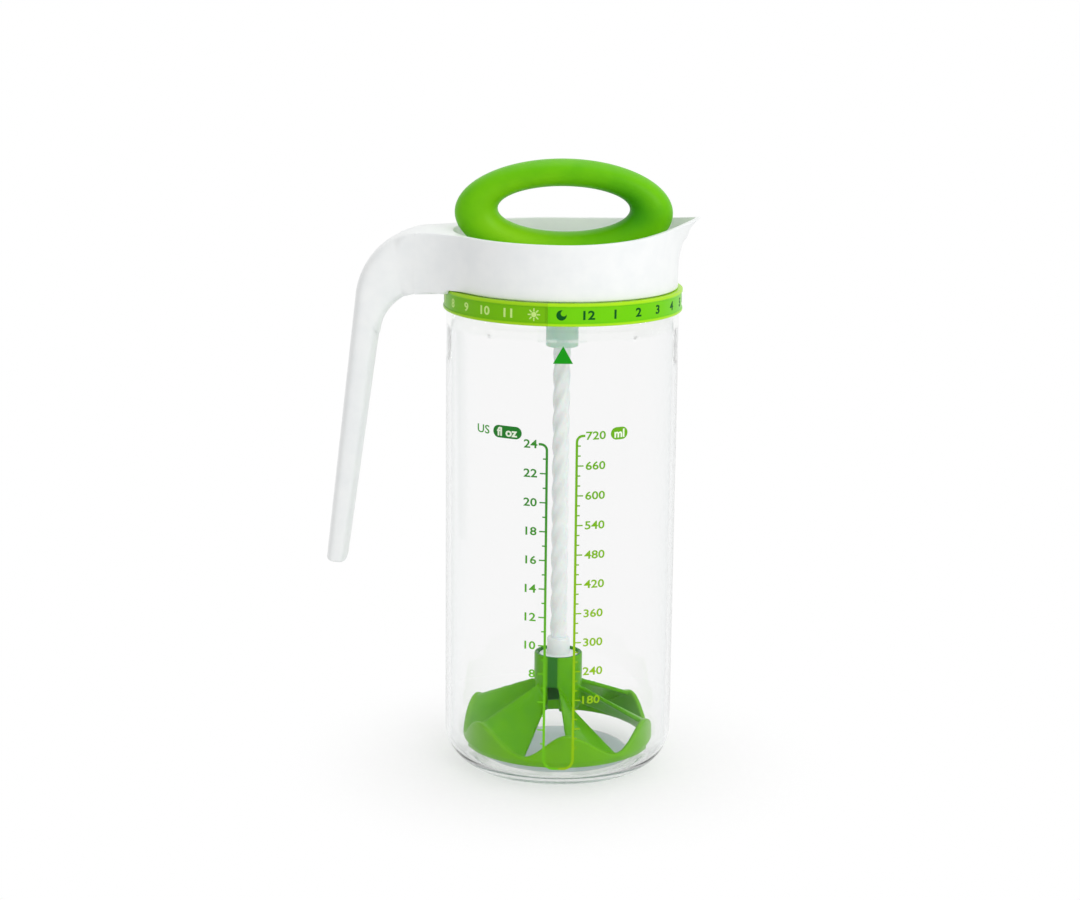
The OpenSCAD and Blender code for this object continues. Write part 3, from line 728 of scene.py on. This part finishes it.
def sun_icon(height, rays=8, sides=24):
    """A disc with tapering rays round it: flat points and the faces' corner lists."""
    a = np.radians(np.arange(sides) * 360 / sides)
    disc = 0.42 * np.stack([np.cos(a), np.sin(a)], -1)
    ray = np.array([(0.5, -0.12), (1.0, -0.09), (1.0, 0.09), (0.5, 0.12)])
    turn = 2 * np.pi * np.arange(rays) / rays
    spin = np.stack([[np.cos(turn), -np.sin(turn)], [np.sin(turn), np.cos(turn)]])
    spun = (ray @ spin.transpose(2, 1, 0)).reshape(-1, 2)
    faces = [list(range(sides))] + [[sides + 4 * k + c for c in range(4)] for k in range(rays)]
    return np.concatenate([disc, spun]) * height / 2, faces


def moon_icon(height, share=0.8):
    """A crescent: most of a circle, and back along a smaller one set off to the upper right."""
    a = np.radians(np.linspace(78, 372, 30))
    outer = np.stack([np.cos(a), np.sin(a)], -1)
    centre = np.array([0.42, 0.38])
    first, last = (math.atan2(*(tip - centre)[::-1]) for tip in outer[[0, -1]])
    reach = np.hypot(*(outer[-1] - centre))
    b = np.linspace(last, first - 2 * np.pi if first > last else first, 22)[1:-1]
    inner = centre + reach * np.stack([np.cos(b), np.sin(b)], -1)
    points = np.concatenate([outer, inner])
    return share * points * height / 2, [list(range(len(points)))]


def printed(name, items, finish, body, radius, ink_t=0.04):
    """Flat artwork wrapped on a cylinder as one thin solid skin.

    An item is ((points, faces), direction of its middle from the front,
    height of its middle). A flat point (x, y) turns by x / radius and
    stands y above the middle.
    """
    points, faces = [], []
    for (flat, corners), direction, z in items:
        a = math.radians(direction) + flat[:, 0] / radius
        first = sum(len(p) for p in points)
        count = len(flat)
        points += [turned(r, a, z + flat[:, 1]) for r in (radius, radius + ink_t)]
        faces += [[first + v for v in reversed(face)] for face in corners]
        faces += [[first + count + v for v in face] for face in corners]
        faces += [
            [first + u, first + v, first + count + v, first + count + u]
            for u, v in border(corners)
        ]
    mesh = bpy.data.meshes.new(name)
    mesh.from_pydata((np.concatenate(points) * MM).tolist(), [], faces)
    mesh.update()
    return finished(mesh, name, finish, body)


def border(corners):
    """The edges that only one face uses, in that face's order."""
    edges = {(face[k - 1], face[k]) for face in corners for k in range(len(face))}
    return [(u, v) for u, v in sorted(edges) if (v, u) not in edges]


def numerals(numbers, start, side, ml_each):
    """Each number beside its mark, on side 1 or -1, `start` from the front along the wall."""
    items = []
    for number in numbers:
        art = letters(str(number), NUMERAL_H)
        half = art[0][:, 0].max()
        direction = math.degrees(side * (start + half) / INK_R)
        items.append((art, direction, level(number * ml_each)))
    return items


fl_oz_items = numerals(range(8, 25, 2), FL_OZ_START, -1, FL_OZ_ML)
printed("fl_oz_numerals", fl_oz_items, DARK_INK, "jar", NUMERAL_R)
ml_items = numerals(range(180, 721, 60), ML_START, 1, 1)
printed("ml_numerals", ml_items, LIME_INK, "jar", NUMERAL_R)

us_items = [(letters("US", 3.2, squeeze=1.2, weight=0.012), US_AZ, BADGE_Z)]
printed("us_letters", us_items, US_INK, "jar", NUMERAL_R)
for text, height, direction in (("fl oz", 3.3, FL_OZ_AZ), ("ml", 3.1, ML_AZ)):
    badge_items = [(letters(text, height, squeeze=1.08, weight=0.03), direction, BADGE_Z)]
    name = text.replace(" ", "_") + "_letters"
    printed(name, badge_items, BADGE_INK, "jar", BADGE_LETTER_R, ink_t=0.03)


# ---- The time-tracking ring ----


def ring_outline():
    """The ring's section: a recessed band between two rounded beads."""
    low, high = RING_Z + RING_BEAD, RING_TOP - RING_BEAD
    return profile(
        (RING_BORE, RING_Z, 0.3),
        (RING_R, RING_Z, 0.8),
        (RING_R, low, 0.4),
        (BAND_R, low + RING_STEP, 0.15),
        (BAND_R, high - RING_STEP, 0.15),
        (RING_R, high, 0.4),
        (RING_R, RING_TOP, 0.35),
        (RING_BORE, RING_TOP, 0.3),
    )


def ring_half(start):
    """Half of the ring, with a slim rib across the band at each end where the halves meet."""
    inner, outer, low, high = RING_BORE + 1, RING_R - 0.05, RING_Z + 0.4, RING_TOP - 0.4
    rib = profile((inner, low, 0.2), (outer, low, 0.2), (outer, high, 0.2), (inner, high, 0.2))
    return [
        lathe(ring_outline(), 160, start + HALF_GAP, 180 - 2 * HALF_GAP),
        lathe(rib, 4, start + RIB_START, RIB_SWEEP),
        lathe(rib, 4, start + 180 - RIB_START - RIB_SWEEP, RIB_SWEEP),
    ]


def hour_marks(start, icon):
    """The twelve hours between two icons, evenly spaced along one half of the ring."""
    pitch = 180 / (len(HOURS) + 2)
    hours = [letters(hour, HOUR_H, squeeze=1.2, weight=0.026) for hour in HOURS]
    art = [icon(ICON_H), *hours, icon(ICON_H)]
    middle = (RING_Z + RING_TOP) / 2
    return [(mark, start + (k + 0.5) * pitch, middle) for k, mark in enumerate(art)]


build(
    "ring_day_band",
    ring_half(RING_SPLIT - 180),
    RING_DAY,
    "tracking_ring",
    ("ring_day_half",),
    crease=40,
)
build(
    "ring_night_band",
    ring_half(RING_SPLIT),
    RING_NIGHT,
    "tracking_ring",
    ("ring_night_half",),
    crease=40,
)
day_marks = hour_marks(RING_SPLIT - 180, sun_icon)
printed("day_hours", day_marks, DAY_INK, "tracking_ring", BAND_R + 0.01, ink_t=0.05)
night_marks = hour_marks(RING_SPLIT, moon_icon)
printed("night_hours", night_marks, NIGHT_INK, "tracking_ring", BAND_R + 0.01, ink_t=0.05)


# ---- The lid's collar, lip and handle ----

FAIRING_Y = HANDLE_HALF_W + FAIRING_R
FAIRING_X = math.sqrt((COLLAR_R + FAIRING_R) ** 2 - FAIRING_Y**2)
FAIRING_END = math.degrees(math.atan2(FAIRING_Y, FAIRING_X))
LEG_DIR = np.array([-math.cos(LEAN), math.sin(LEAN)])
LEG_DOWN = np.array([-math.sin(LEAN), -math.cos(LEAN)])
INNER_BEND_X = BEND_X + (
    LEG_T - (BEND_R - INNER_BEND_R) - (BEND_Z - INNER_BEND_Z) * LEG_DIR[1]
) / LEG_DIR[0]


def fairing_half_width(x):
    """Half of the width behind the collar: the handle's, widened by an arc to the collar."""
    arc = FAIRING_Y - np.sqrt(np.maximum(FAIRING_R**2 - (FAIRING_X - x) ** 2, 0))
    return np.where(x < FAIRING_X, arc, HANDLE_HALF_W)


CUT_END = math.degrees(math.atan2(float(fairing_half_width(HANDLE_CUT_X)), HANDLE_CUT_X))


def plan_radius(q):
    """Radius of the collar's side, q degrees from the handle: circle, fairing arc, cut plane."""
    c, s = np.cos(np.radians(q)), np.sin(np.radians(q))
    b = FAIRING_X * c + FAIRING_Y * s
    fairing = b - np.sqrt(np.maximum(b * b - (FAIRING_X**2 + FAIRING_Y**2 - FAIRING_R**2), 0))
    return np.where(q >= FAIRING_END, COLLAR_R, np.where(q <= CUT_END, HANDLE_CUT_X / c, fairing))


def handle_top(x):
    """Height of the handle's top: level, then the outer bend's arc."""
    return BEND_Z + np.sqrt(BEND_R**2 - np.maximum(0, x - BEND_X) ** 2)


def handle_under(x):
    """Height of the handle's underside: level, then the inner bend's arc."""
    return INNER_BEND_Z + np.sqrt(INNER_BEND_R**2 - np.maximum(0, x - INNER_BEND_X) ** 2)


def lip_share(d):
    """How much the lip acts, d degrees from its tip: (1 - (sqrt(d^2 + 4) - 2) / spread)^1.6."""
    return np.clip(1 - (np.sqrt(d * d + 4) - 2) / LIP_SPREAD, 0, 1) ** 1.6


def lip_bulge(z):
    """How far the lip stands out: reach (0.85 u^2 + 0.15 u^8), u the share of the way up it."""
    u = np.clip((z - RIM_Z + LIP_DEPTH) / (LIP_DEPTH + LIP_RISE), 0, 1)
    return LIP_REACH * (0.85 * u**2 + 0.15 * u**8)


def rim_height(d):
    """Height of the rim, d degrees from the lip's tip.

    It stands lip_rise (1 - d/90)^1.86 above the front on the lip's side, and
    rises softly behind.
    """
    lip = RIM_Z + LIP_RISE * np.maximum(1 - d / 90, 0) ** 1.86
    return np.where(d < 90, lip, RIM_Z + HANDLE_RISE * smooth((d - 90) / 70))


def collar_turns():
    """Directions from the lip's tip, in degrees: close together at the lip, fairing and handle."""
    stops = [0, LIP_SPREAD, 180 - FAIRING_END, 180 - CUT_END, 180]
    counts = [64, 64, 48, 12]
    half = np.concatenate(
        [
            np.linspace(low, high, count, endpoint=False)
            for low, high, count in zip(stops, stops[1:], counts)
        ]
    )
    return np.concatenate([half, [180.0], -half[:0:-1]])


def collar_patch():
    """The collar as its section carried round the axis.

    The section's corners are functions of the direction d from the lip's
    tip: the side leans out with the lip, the rim rises at the lip and the
    handle, and behind the collar the side moves out along the fairing to
    the upright plane where the handle starts.
    """
    turn = collar_turns()
    d = np.abs(turn)
    flat, q = 0 * d, 180 - d
    r, share = plan_radius(q), lip_share(d)
    root = np.clip((r - RING_CLEAR_R - ROOT_START) / ROOT_RUN, 0, 1)
    rim = rim_height(d)

    def top_at(x):
        return mix(rim, np.minimum(rim, handle_top(x)), root)

    x = r * np.cos(np.radians(q))
    under, top = mix(COLLAR_Z, handle_under(x), root), top_at(x)
    step_r = np.minimum(RING_CLEAR_R, r - 1)
    flare = share * lip_bulge(top)
    outer_r, inner_r = r + flare, COLLAR_R - RIM_WALL + flare
    side_z = mix(under, top, np.linspace(0.08, 0.93, 22)[:, None])
    side_r = r + share * lip_bulge(side_z)
    across_rim = [(mix(outer_r, inner_r, f), top_at(mix(x, COLLAR_R, f))) for f in (0.3, 0.6)]
    ledge_slope = (mix(LEDGE_R, inner_r, 0.5) + 0.15 * flare, mix(LEDGE_Z, RIM_Z, 0.5))

    near_cut = np.clip((q - CUT_END) / 8, 0, 1)
    in_fairing = smooth((q - CUT_END) / 5) * (1 - smooth((q - CUT_END - 8) / 34))
    soft = mix(CUT_ROUND, EDGE_ROUND, near_cut) + FAIRING_ROUND * in_fairing
    corners = [
        (COLLAR_BORE, COLLAR_Z, 0.25),
        (step_r, COLLAR_Z, 0.2),
        (step_r + 0.05, under, 0.2),
        (r, under, soft),
        *((radius, z, 4.0) for radius, z in zip(side_r, side_z)),
        (outer_r, top, soft),
        *((radius, z, 2.0) for radius, z in across_rim),
        (inner_r, rim, 0.5),
        (*ledge_slope, 3.0),
        (LEDGE_R, LEDGE_Z, 0.2),
        (COLLAR_BORE, LEDGE_Z, 0.2),
    ]
    spread = np.stack([np.stack([flat + v for v in corner], -1) for corner in corners], 1)
    section = rounded(spread[..., :2], spread[..., 2], steps=4)
    a = np.radians(turn)[:, None]
    radius, z = section[..., 0], section[..., 1]
    return skin(np.stack([radius * np.cos(a), radius * np.sin(a), z], -1), close_rows=True)


def handle_patch():
    """The hook handle: a rounded oblong carried down the bend and the leg.

    A section point is the middle of the section plus half its thickness
    times sin^(2/n) outwards and half its width times cos^(2/n) across. n
    falls from 25 at the collar, nearly a rectangle, to 3.4 on the leg. The
    handle starts a little inside the collar's root, and its tip is drawn in
    along a quarter ellipse. Points of its two sides are (x, z).
    """
    f = np.linspace(0, 1, 60)[:, None]
    end, start_x = math.pi - LEAN, HANDLE_CUT_X - HANDLE_LAP

    def bend(x, z, radius):
        a = mix(math.acos((x - start_x) / radius), end, f)
        return np.hstack([-x + radius * np.cos(a), z + radius * np.sin(a)])

    outer, inner = bend(BEND_X, BEND_Z, BEND_R), bend(INNER_BEND_X, INNER_BEND_Z, INNER_BEND_R)
    width = fairing_half_width(-outer[:, :1])
    at_root = 1 - smooth(f / 0.25)
    squareness = mix(BEND_SQUARE, LEG_SQUARE, f) + (ROOT_SQUARE - BEND_SQUARE) * at_root

    leg_len = (outer[-1, 1] - TIP_Z) / math.cos(LEAN)
    g = np.linspace(0, 1, 36)[1:, None]
    leg_outer = outer[-1] + LEG_DOWN * leg_len * g
    leg_inner = leg_outer - LEG_DIR * mix(LEG_T, TIP_T, g)

    s = np.radians(np.linspace(12, 90, 8))[:, None]
    inset = TIP_ROUND * (1 - np.cos(s))
    tip = leg_outer[-1] + LEG_DOWN * np.sin(s)

    outer = np.concatenate([outer, leg_outer, tip - LEG_DIR * inset])
    inner = np.concatenate([inner, leg_inner, tip - LEG_DIR * (TIP_T - inset)])
    width = np.concatenate([width, 0 * g + HANDLE_HALF_W, HANDLE_HALF_W - inset])
    squareness = np.concatenate([squareness, 0 * g + LEG_SQUARE, 0 * s + LEG_SQUARE])
    a = np.linspace(0, 2 * np.pi, 72, endpoint=False)[None, :]
    across = signed_power(np.cos(a), 2 / squareness) * width
    along = signed_power(np.sin(a), 2 / squareness)
    middle, reach = (outer + inner) / 2, (outer - inner) / 2
    x, z = (middle[:, k : k + 1] + reach[:, k : k + 1] * along for k in (0, 1))
    return skin(capped(np.stack([x, across, z], -1)))


build(
    "lid_shell",
    [collar_patch(), handle_patch()],
    LID_WHITE,
    "lid",
    ("lid_collar", "lid_handle"),
    crease=38,
)


def softened_copy(name, node, finish, body, width):
    """A CAD node's own shape, its triangles joined into flat faces and its edges bevelled."""
    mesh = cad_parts[node].data.copy()
    mesh.name = name
    weld(mesh, 1e-6)
    bm = bmesh.new()
    bm.from_mesh(mesh)
    bmesh.ops.dissolve_limit(
        bm, angle_limit=math.radians(0.8), verts=bm.verts, edges=bm.edges
    )
    bm.to_mesh(mesh)
    bm.free()
    piece = finished(mesh, name, finish, body, (node,), 32)
    bevel = piece.modifiers.new("soft edges", "BEVEL")
    bevel.width = width * MM
    bevel.segments = 2
    bevel.limit_method = "ANGLE"
    bevel.angle_limit = math.radians(40)
    return piece


softened_copy("pouring_deck", "lid_deck", LID_WHITE, "lid", width=0.3)

nut_outline = profile(
    (NUT_GRIP_R, NUT_Z, 0.3),
    (NUT_R, NUT_Z, 0.6),
    (NUT_R, DECK_UNDER - NUT_FLANGE_T, 0.8),
    (NUT_FLANGE_R, DECK_UNDER - NUT_FLANGE_T, 0.4),
    (NUT_FLANGE_R, DECK_UNDER, 0.2),
    (NUT_R, DECK_UNDER, 0),
    (NUT_R, BOWL_Z, 0.2),
    (WIPER_SEAT_R, BOWL_Z, 0.1),
    (WIPER_SEAT_R, BOWL_Z - WIPER_SEAT_D, 0.1),
    (NUT_RELIEF_R, BOWL_Z - WIPER_SEAT_D, 0.2),
    (NUT_RELIEF_R, NUT_Z + NUT_GRIP_H, 0.2),
    (NUT_GRIP_R, NUT_Z + NUT_GRIP_H - 0.5, 0.2),
)
nut = lathe(nut_outline, SMALL_TURNS)
build("guide_nut", [nut], NUT_MILKY, "lid", ("shaft_guide_nut",), crease=38)


# ---- The plunger ----


def loop_patch():
    """The loop handle: an ellipse carried round a larger one.

    At an angle a round the loop, the section's middle is halfway between
    the outer outline and the finger hole's; its points are cos^0.92 of the
    half thickness outwards and sin^0.92 of the half depth across.
    """
    a = np.linspace(0, 2 * np.pi, 224, endpoint=False)[:, None]
    b = np.linspace(0, 2 * np.pi, 72, endpoint=False)[None, :]

    def ellipse(width, height, z):
        return np.stack([width / 2 * np.cos(a), z + height / 2 * np.sin(a)], -1)

    outer, inner = ellipse(LOOP_W, LOOP_H, LOOP_Z), ellipse(HOLE_W, HOLE_H, HOLE_Z)
    outwards = signed_power(np.cos(b), LOOP_SQUARE)[..., None]
    place = mix((outer + inner) / 2, outer, outwards)
    depth = -LOOP_D / 2 * signed_power(np.sin(b), LOOP_SQUARE) + 0 * a
    return skin(np.stack([place[..., 0], depth, place[..., 1]], -1), close_rows=True)


boss_outline = profile(
    (0, SOCKET_TOP, 0),
    (SOCKET_R, SOCKET_TOP, 0.1),
    (SOCKET_R, BOSS_Z, 0.25),
    (BOSS_R, BOSS_Z, 0.7),
    (BOSS_R, SOCKET_TOP + 1, 0.2),
    (0, SOCKET_TOP + 1, 0),
)
build(
    "loop_handle",
    [loop_patch(), lathe(boss_outline, SMALL_TURNS, solid=True)],
    PLUNGER_GREEN,
    "plunger",
    ("plunger_loop",),
    crease=40,
)


# ---- The twisted bar, its foot and the mixer ----


def bar_patch():
    """The twisted bar: its radius is r - groove (1 - cos 4(a - 2 pi z / lead)) / 2."""
    z = np.linspace(BAR_Z, BAR_TOP, 330)[:, None]
    a = np.linspace(0, 2 * np.pi, 80, endpoint=False)[None, :]
    wave = np.cos(BAR_LOBES * (a - 2 * np.pi * z / BAR_LEAD))
    r = BAR_R - BAR_GROOVE * (1 - wave) / 2
    return skin(capped(np.stack([r * np.cos(a), r * np.sin(a), z + 0 * a], -1)))


build("twisted_bar", [bar_patch()], SHAFT_WHITE, "shaft", ("twist_shaft",), crease=50)

foot_outline = profile(
    (0, FOOT_Z + 0.01, 0),
    (FOOT_R, FOOT_Z + 0.01, 0.4),
    (FOOT_R, HUB_TOP - FOOT_DROP, 0.7),
    (PLAIN_R, HUB_TOP - FOOT_DROP, 0.6),
    (PLAIN_R, BAR_Z + 0.02, 1.0),
    (0, BAR_Z + 0.02, 0),
)
foot = lathe(foot_outline, SMALL_TURNS, solid=True)
build("bar_foot", [foot], SHAFT_WHITE, "shaft", ("shaft_foot",), crease=38)


def skirt_top(a):
    """Height of the skirt's edge, a degrees past a blade's high edge: a fall, then a climb."""
    fall = smooth(a / PANEL_OUT)
    climb = smooth((a - PANEL_OUT) / (BLADE_PITCH - PANEL_OUT))
    return MIXER_Z + mix(HIGH_OUT, LOW_OUT, np.where(a < PANEL_OUT, fall, 1 - climb))


def skirt_patch():
    """The skirt: a thin upright wall whose top edge rises and falls once a blade."""
    turn = np.arange(0, 360, 1.0)
    top, flat = skirt_top(turn % BLADE_PITCH), 0 * turn
    corners = [
        (MIXER_BASE_R, MIXER_Z),
        (MIXER_R, MIXER_Z + 2.5),
        (MIXER_R, top),
        (MIXER_R - BLADE_T, top),
        (MIXER_BASE_R - BLADE_T, MIXER_Z),
    ]
    spread = np.stack([np.stack([flat + r, flat + z], -1) for r, z in corners], 1)
    section = rounded(spread, [0.3, 1.0, 0.5, 0.5, 0.3], 3)
    a = np.radians(turn + BLADE_AZ)[:, None]
    return skin(turned(section[..., 0], a, section[..., 1]), close_rows=True)


def blade_patch(start):
    """One blade: straight lines from hub to skirt whose two ends fall as they turn."""
    f = np.linspace(0, 1, 28)
    a_in, a_out = start + f * PANEL_IN - BLADE_LEAD, start + f * PANEL_OUT
    z_in, z_out = MIXER_Z + mix(HIGH_IN, LOW_IN, f), skirt_top(f * PANEL_OUT) - BLADE_DROP
    hub_end = turned(HUB_BASE_R - HUB_WALL / 2, np.radians(a_in), z_in)[:, None]
    skirt_end = turned(MIXER_R - BLADE_T / 2, np.radians(a_out), z_out)[:, None]
    upper = mix(hub_end, skirt_end, np.linspace(0, 1, 24)[None, :, None])
    lower = (upper - (0, 0, BLADE_T))[:, ::-1]
    return skin(capped(np.concatenate([upper, lower], 1)))


def hub_patches():
    """The hub: a grooved cup over a cone whose wall is cut by one slot, which leaves an arc.

    Inside the groove's width the cup's radius is at most (r - depth) / cos
    of the direction from the groove.
    """
    slot_top_r = HUB_BASE_R + (HUB_R - HUB_BASE_R) / (FOOT_Z - HUB_Z) * SLOT_H
    outline = profile(
        (0, SLOT_TOP, 0),
        (slot_top_r, SLOT_TOP, 0.1),
        (HUB_R, FOOT_Z, 0.3),
        (HUB_R, HUB_TOP, 0.4),
        (HUB_BORE, HUB_TOP, 0.4),
        (HUB_BORE, FOOT_Z, 0.3),
        (0, FOOT_Z, 0),
    )
    turn = np.radians(np.arange(0, 360, 0.75))[:, None]
    aside = (turn - np.radians(SLOT_AZ) + np.pi) % (2 * np.pi) - np.pi
    in_groove = np.abs(aside) < SLOT_W / 2 / HUB_R
    limit = np.where(in_groove, (HUB_R - GROOVE_D) / np.cos(aside), HUB_R)
    cup = turned(np.minimum(outline[None, :, 0], limit), turn, outline[None, :, 1])
    gap = 2 * math.degrees(math.asin(SLOT_W / 2 / (HUB_BASE_R - HUB_WALL / 2)))
    wall = profile(
        (HUB_BASE_R - HUB_WALL, HUB_Z, 0.2),
        (HUB_BASE_R, HUB_Z, 0.2),
        (slot_top_r, SLOT_TOP + 0.3, 0.2),
        (HUB_BASE_R - HUB_WALL, SLOT_TOP + 0.3, 0.2),
    )
    return [
        skin(cup, close_rows=True, close_columns=False),
        lathe(wall, SMALL_TURNS, SLOT_AZ + gap / 2, 360 - gap),
    ]


def fused(piece, voxel, passes):
    """Joins a piece's overlapping skins into one and rounds its edges by about a voxel."""
    remesh = piece.modifiers.new("one skin", "REMESH")
    remesh.mode = "VOXEL"
    remesh.voxel_size = voxel * MM
    remesh.use_smooth_shade = True
    ease = piece.modifiers.new("eased edges", "SMOOTH")
    ease.factor = 0.5
    ease.iterations = passes
    mesh = evaluated(piece)
    piece.modifiers.clear()
    piece.data = mesh
    mesh.shade_smooth()


blades = [blade_patch(BLADE_AZ + k * BLADE_PITCH) for k in range(BLADES)]
mixer_patches = [skirt_patch(), *blades, *hub_patches()]
mixer = build("bladed_mixer", mixer_patches, MIXER_GREEN, "shaft", ("mixer",))
fused(mixer, voxel=0.45, passes=4)


# ---- CAD nodes that keep their own shape ----

KEPT = {
    "fl_oz_scale": DARK_INK,
    "ml_scale": LIME_INK,
    "fl_oz_badge": BADGE_DARK,
    "ml_badge": LIME_INK,
    "time_pointer": POINTER_INK,
    "lid_gasket": SILICONE,
    "shaft_wiper": SILICONE,
    "swivel_cap": PLUNGER_GREEN,
    "swivel_washer": SHAFT_WHITE,
    "shaft_head": SHAFT_WHITE,
}
for node, (material, _) in KEPT.items():
    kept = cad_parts[node]
    kept.data.materials.clear()
    kept.data.materials.append(material)


# ---- Floor, light and camera ----

WHITE = (1.0, 1.0, 1.0, 1.0)
# Rays that show the background: from the camera, or mirrored or bent on their way.
BACKGROUND_RAYS = ("Camera", "Glossy", "Transmission")


def floor(half=4.0):
    """A pale floor that shows the object's shadow near it and runs out into the white.

    Its half width is in metres.
    """
    material, graph = new_graph("pale_floor")
    paper = graph.noise(420.0, 3.0)
    surface = graph.surface(
        graph.blend(paper.step(0.3, 0.7), srgb(250, 250, 250), srgb(247, 247, 248)),
        0.7 + (paper - 0.5) * 0.1,
        Specular_IOR_Level=0.2,
    )
    white = graph.node("ShaderNodeEmission", sockets={"Color": WHITE, "Strength": 1.0})
    far = graph.length(graph.place()).past(40.0, 110.0)
    share = graph.rays(*BACKGROUND_RAYS) * (0.54 + far * 0.46)
    graph.show(graph.mixed(share, surface, white))
    corners = [(-half, -half, 0), (half, -half, 0), (half, half, 0), (-half, half, 0)]
    mesh = bpy.data.meshes.new("floor")
    mesh.from_pydata(corners, [], [[0, 1, 2, 3]])
    mesh.materials.append(material)
    plane = bpy.data.objects.new("floor", mesh)
    bpy.context.scene.collection.objects.link(plane)


def studio_world():
    """Soft light from all round, and a white background."""
    world = bpy.data.worlds.new("studio")
    bpy.context.scene.world = world
    graph = Graph(world)
    soft, white = (
        graph.node("ShaderNodeBackground", sockets={"Color": colour, "Strength": strength})
        for colour, strength in (((1.0, 0.995, 0.99, 1.0), 0.7), (WHITE, 1.0))
    )
    graph.show(graph.mixed(graph.rays(*BACKGROUND_RAYS), soft, white), "ShaderNodeOutputWorld")


def lamp(name, place, side, power, target=(0, 0, 0.1)):
    """A soft square lamp at a place in metres, turned to face a target."""
    light = bpy.data.lights.new(name, "AREA")
    light.shape = "RECTANGLE"
    light.size = light.size_y = side
    light.energy = power
    holder = bpy.data.objects.new(name, light)
    aim = (Vector(target) - Vector(place)).to_track_quat("-Z", "Y")
    holder.matrix_world = Matrix.Translation(place) @ aim.to_matrix().to_4x4()
    bpy.context.scene.collection.objects.link(holder)


def camera():
    """The photograph's own view, looking down a little from the front and rolled a little."""
    back = Vector((0.0, -math.cos(CAMERA_DOWN), math.sin(CAMERA_DOWN)))
    right = Vector((1.0, 0.0, 0.0))
    up = right.cross(-back)
    x = math.cos(CAMERA_ROLL) * right + math.sin(CAMERA_ROLL) * up
    y = -math.sin(CAMERA_ROLL) * right + math.cos(CAMERA_ROLL) * up
    lens = bpy.data.cameras.new("photo_view")
    lens.lens, lens.sensor_width = LENS_MM, FRAME_MM
    lens.clip_start, lens.clip_end = 0.02, 20.0
    holder = bpy.data.objects.new("photo_view", lens)
    turn = Matrix((x, y, back)).transposed().to_4x4()
    holder.matrix_world = Matrix.Translation(CAMERA_PLACE) @ turn
    bpy.context.scene.collection.objects.link(holder)
    bpy.context.scene.camera = holder


floor()
studio_world()
lamp("key", (0.8, -0.95, 0.8), side=0.6, power=6.1)
lamp("top", (0.1, 0.25, 1.2), side=0.8, power=2.8)
camera()
bpy.context.scene.view_settings.view_transform = "Standard"
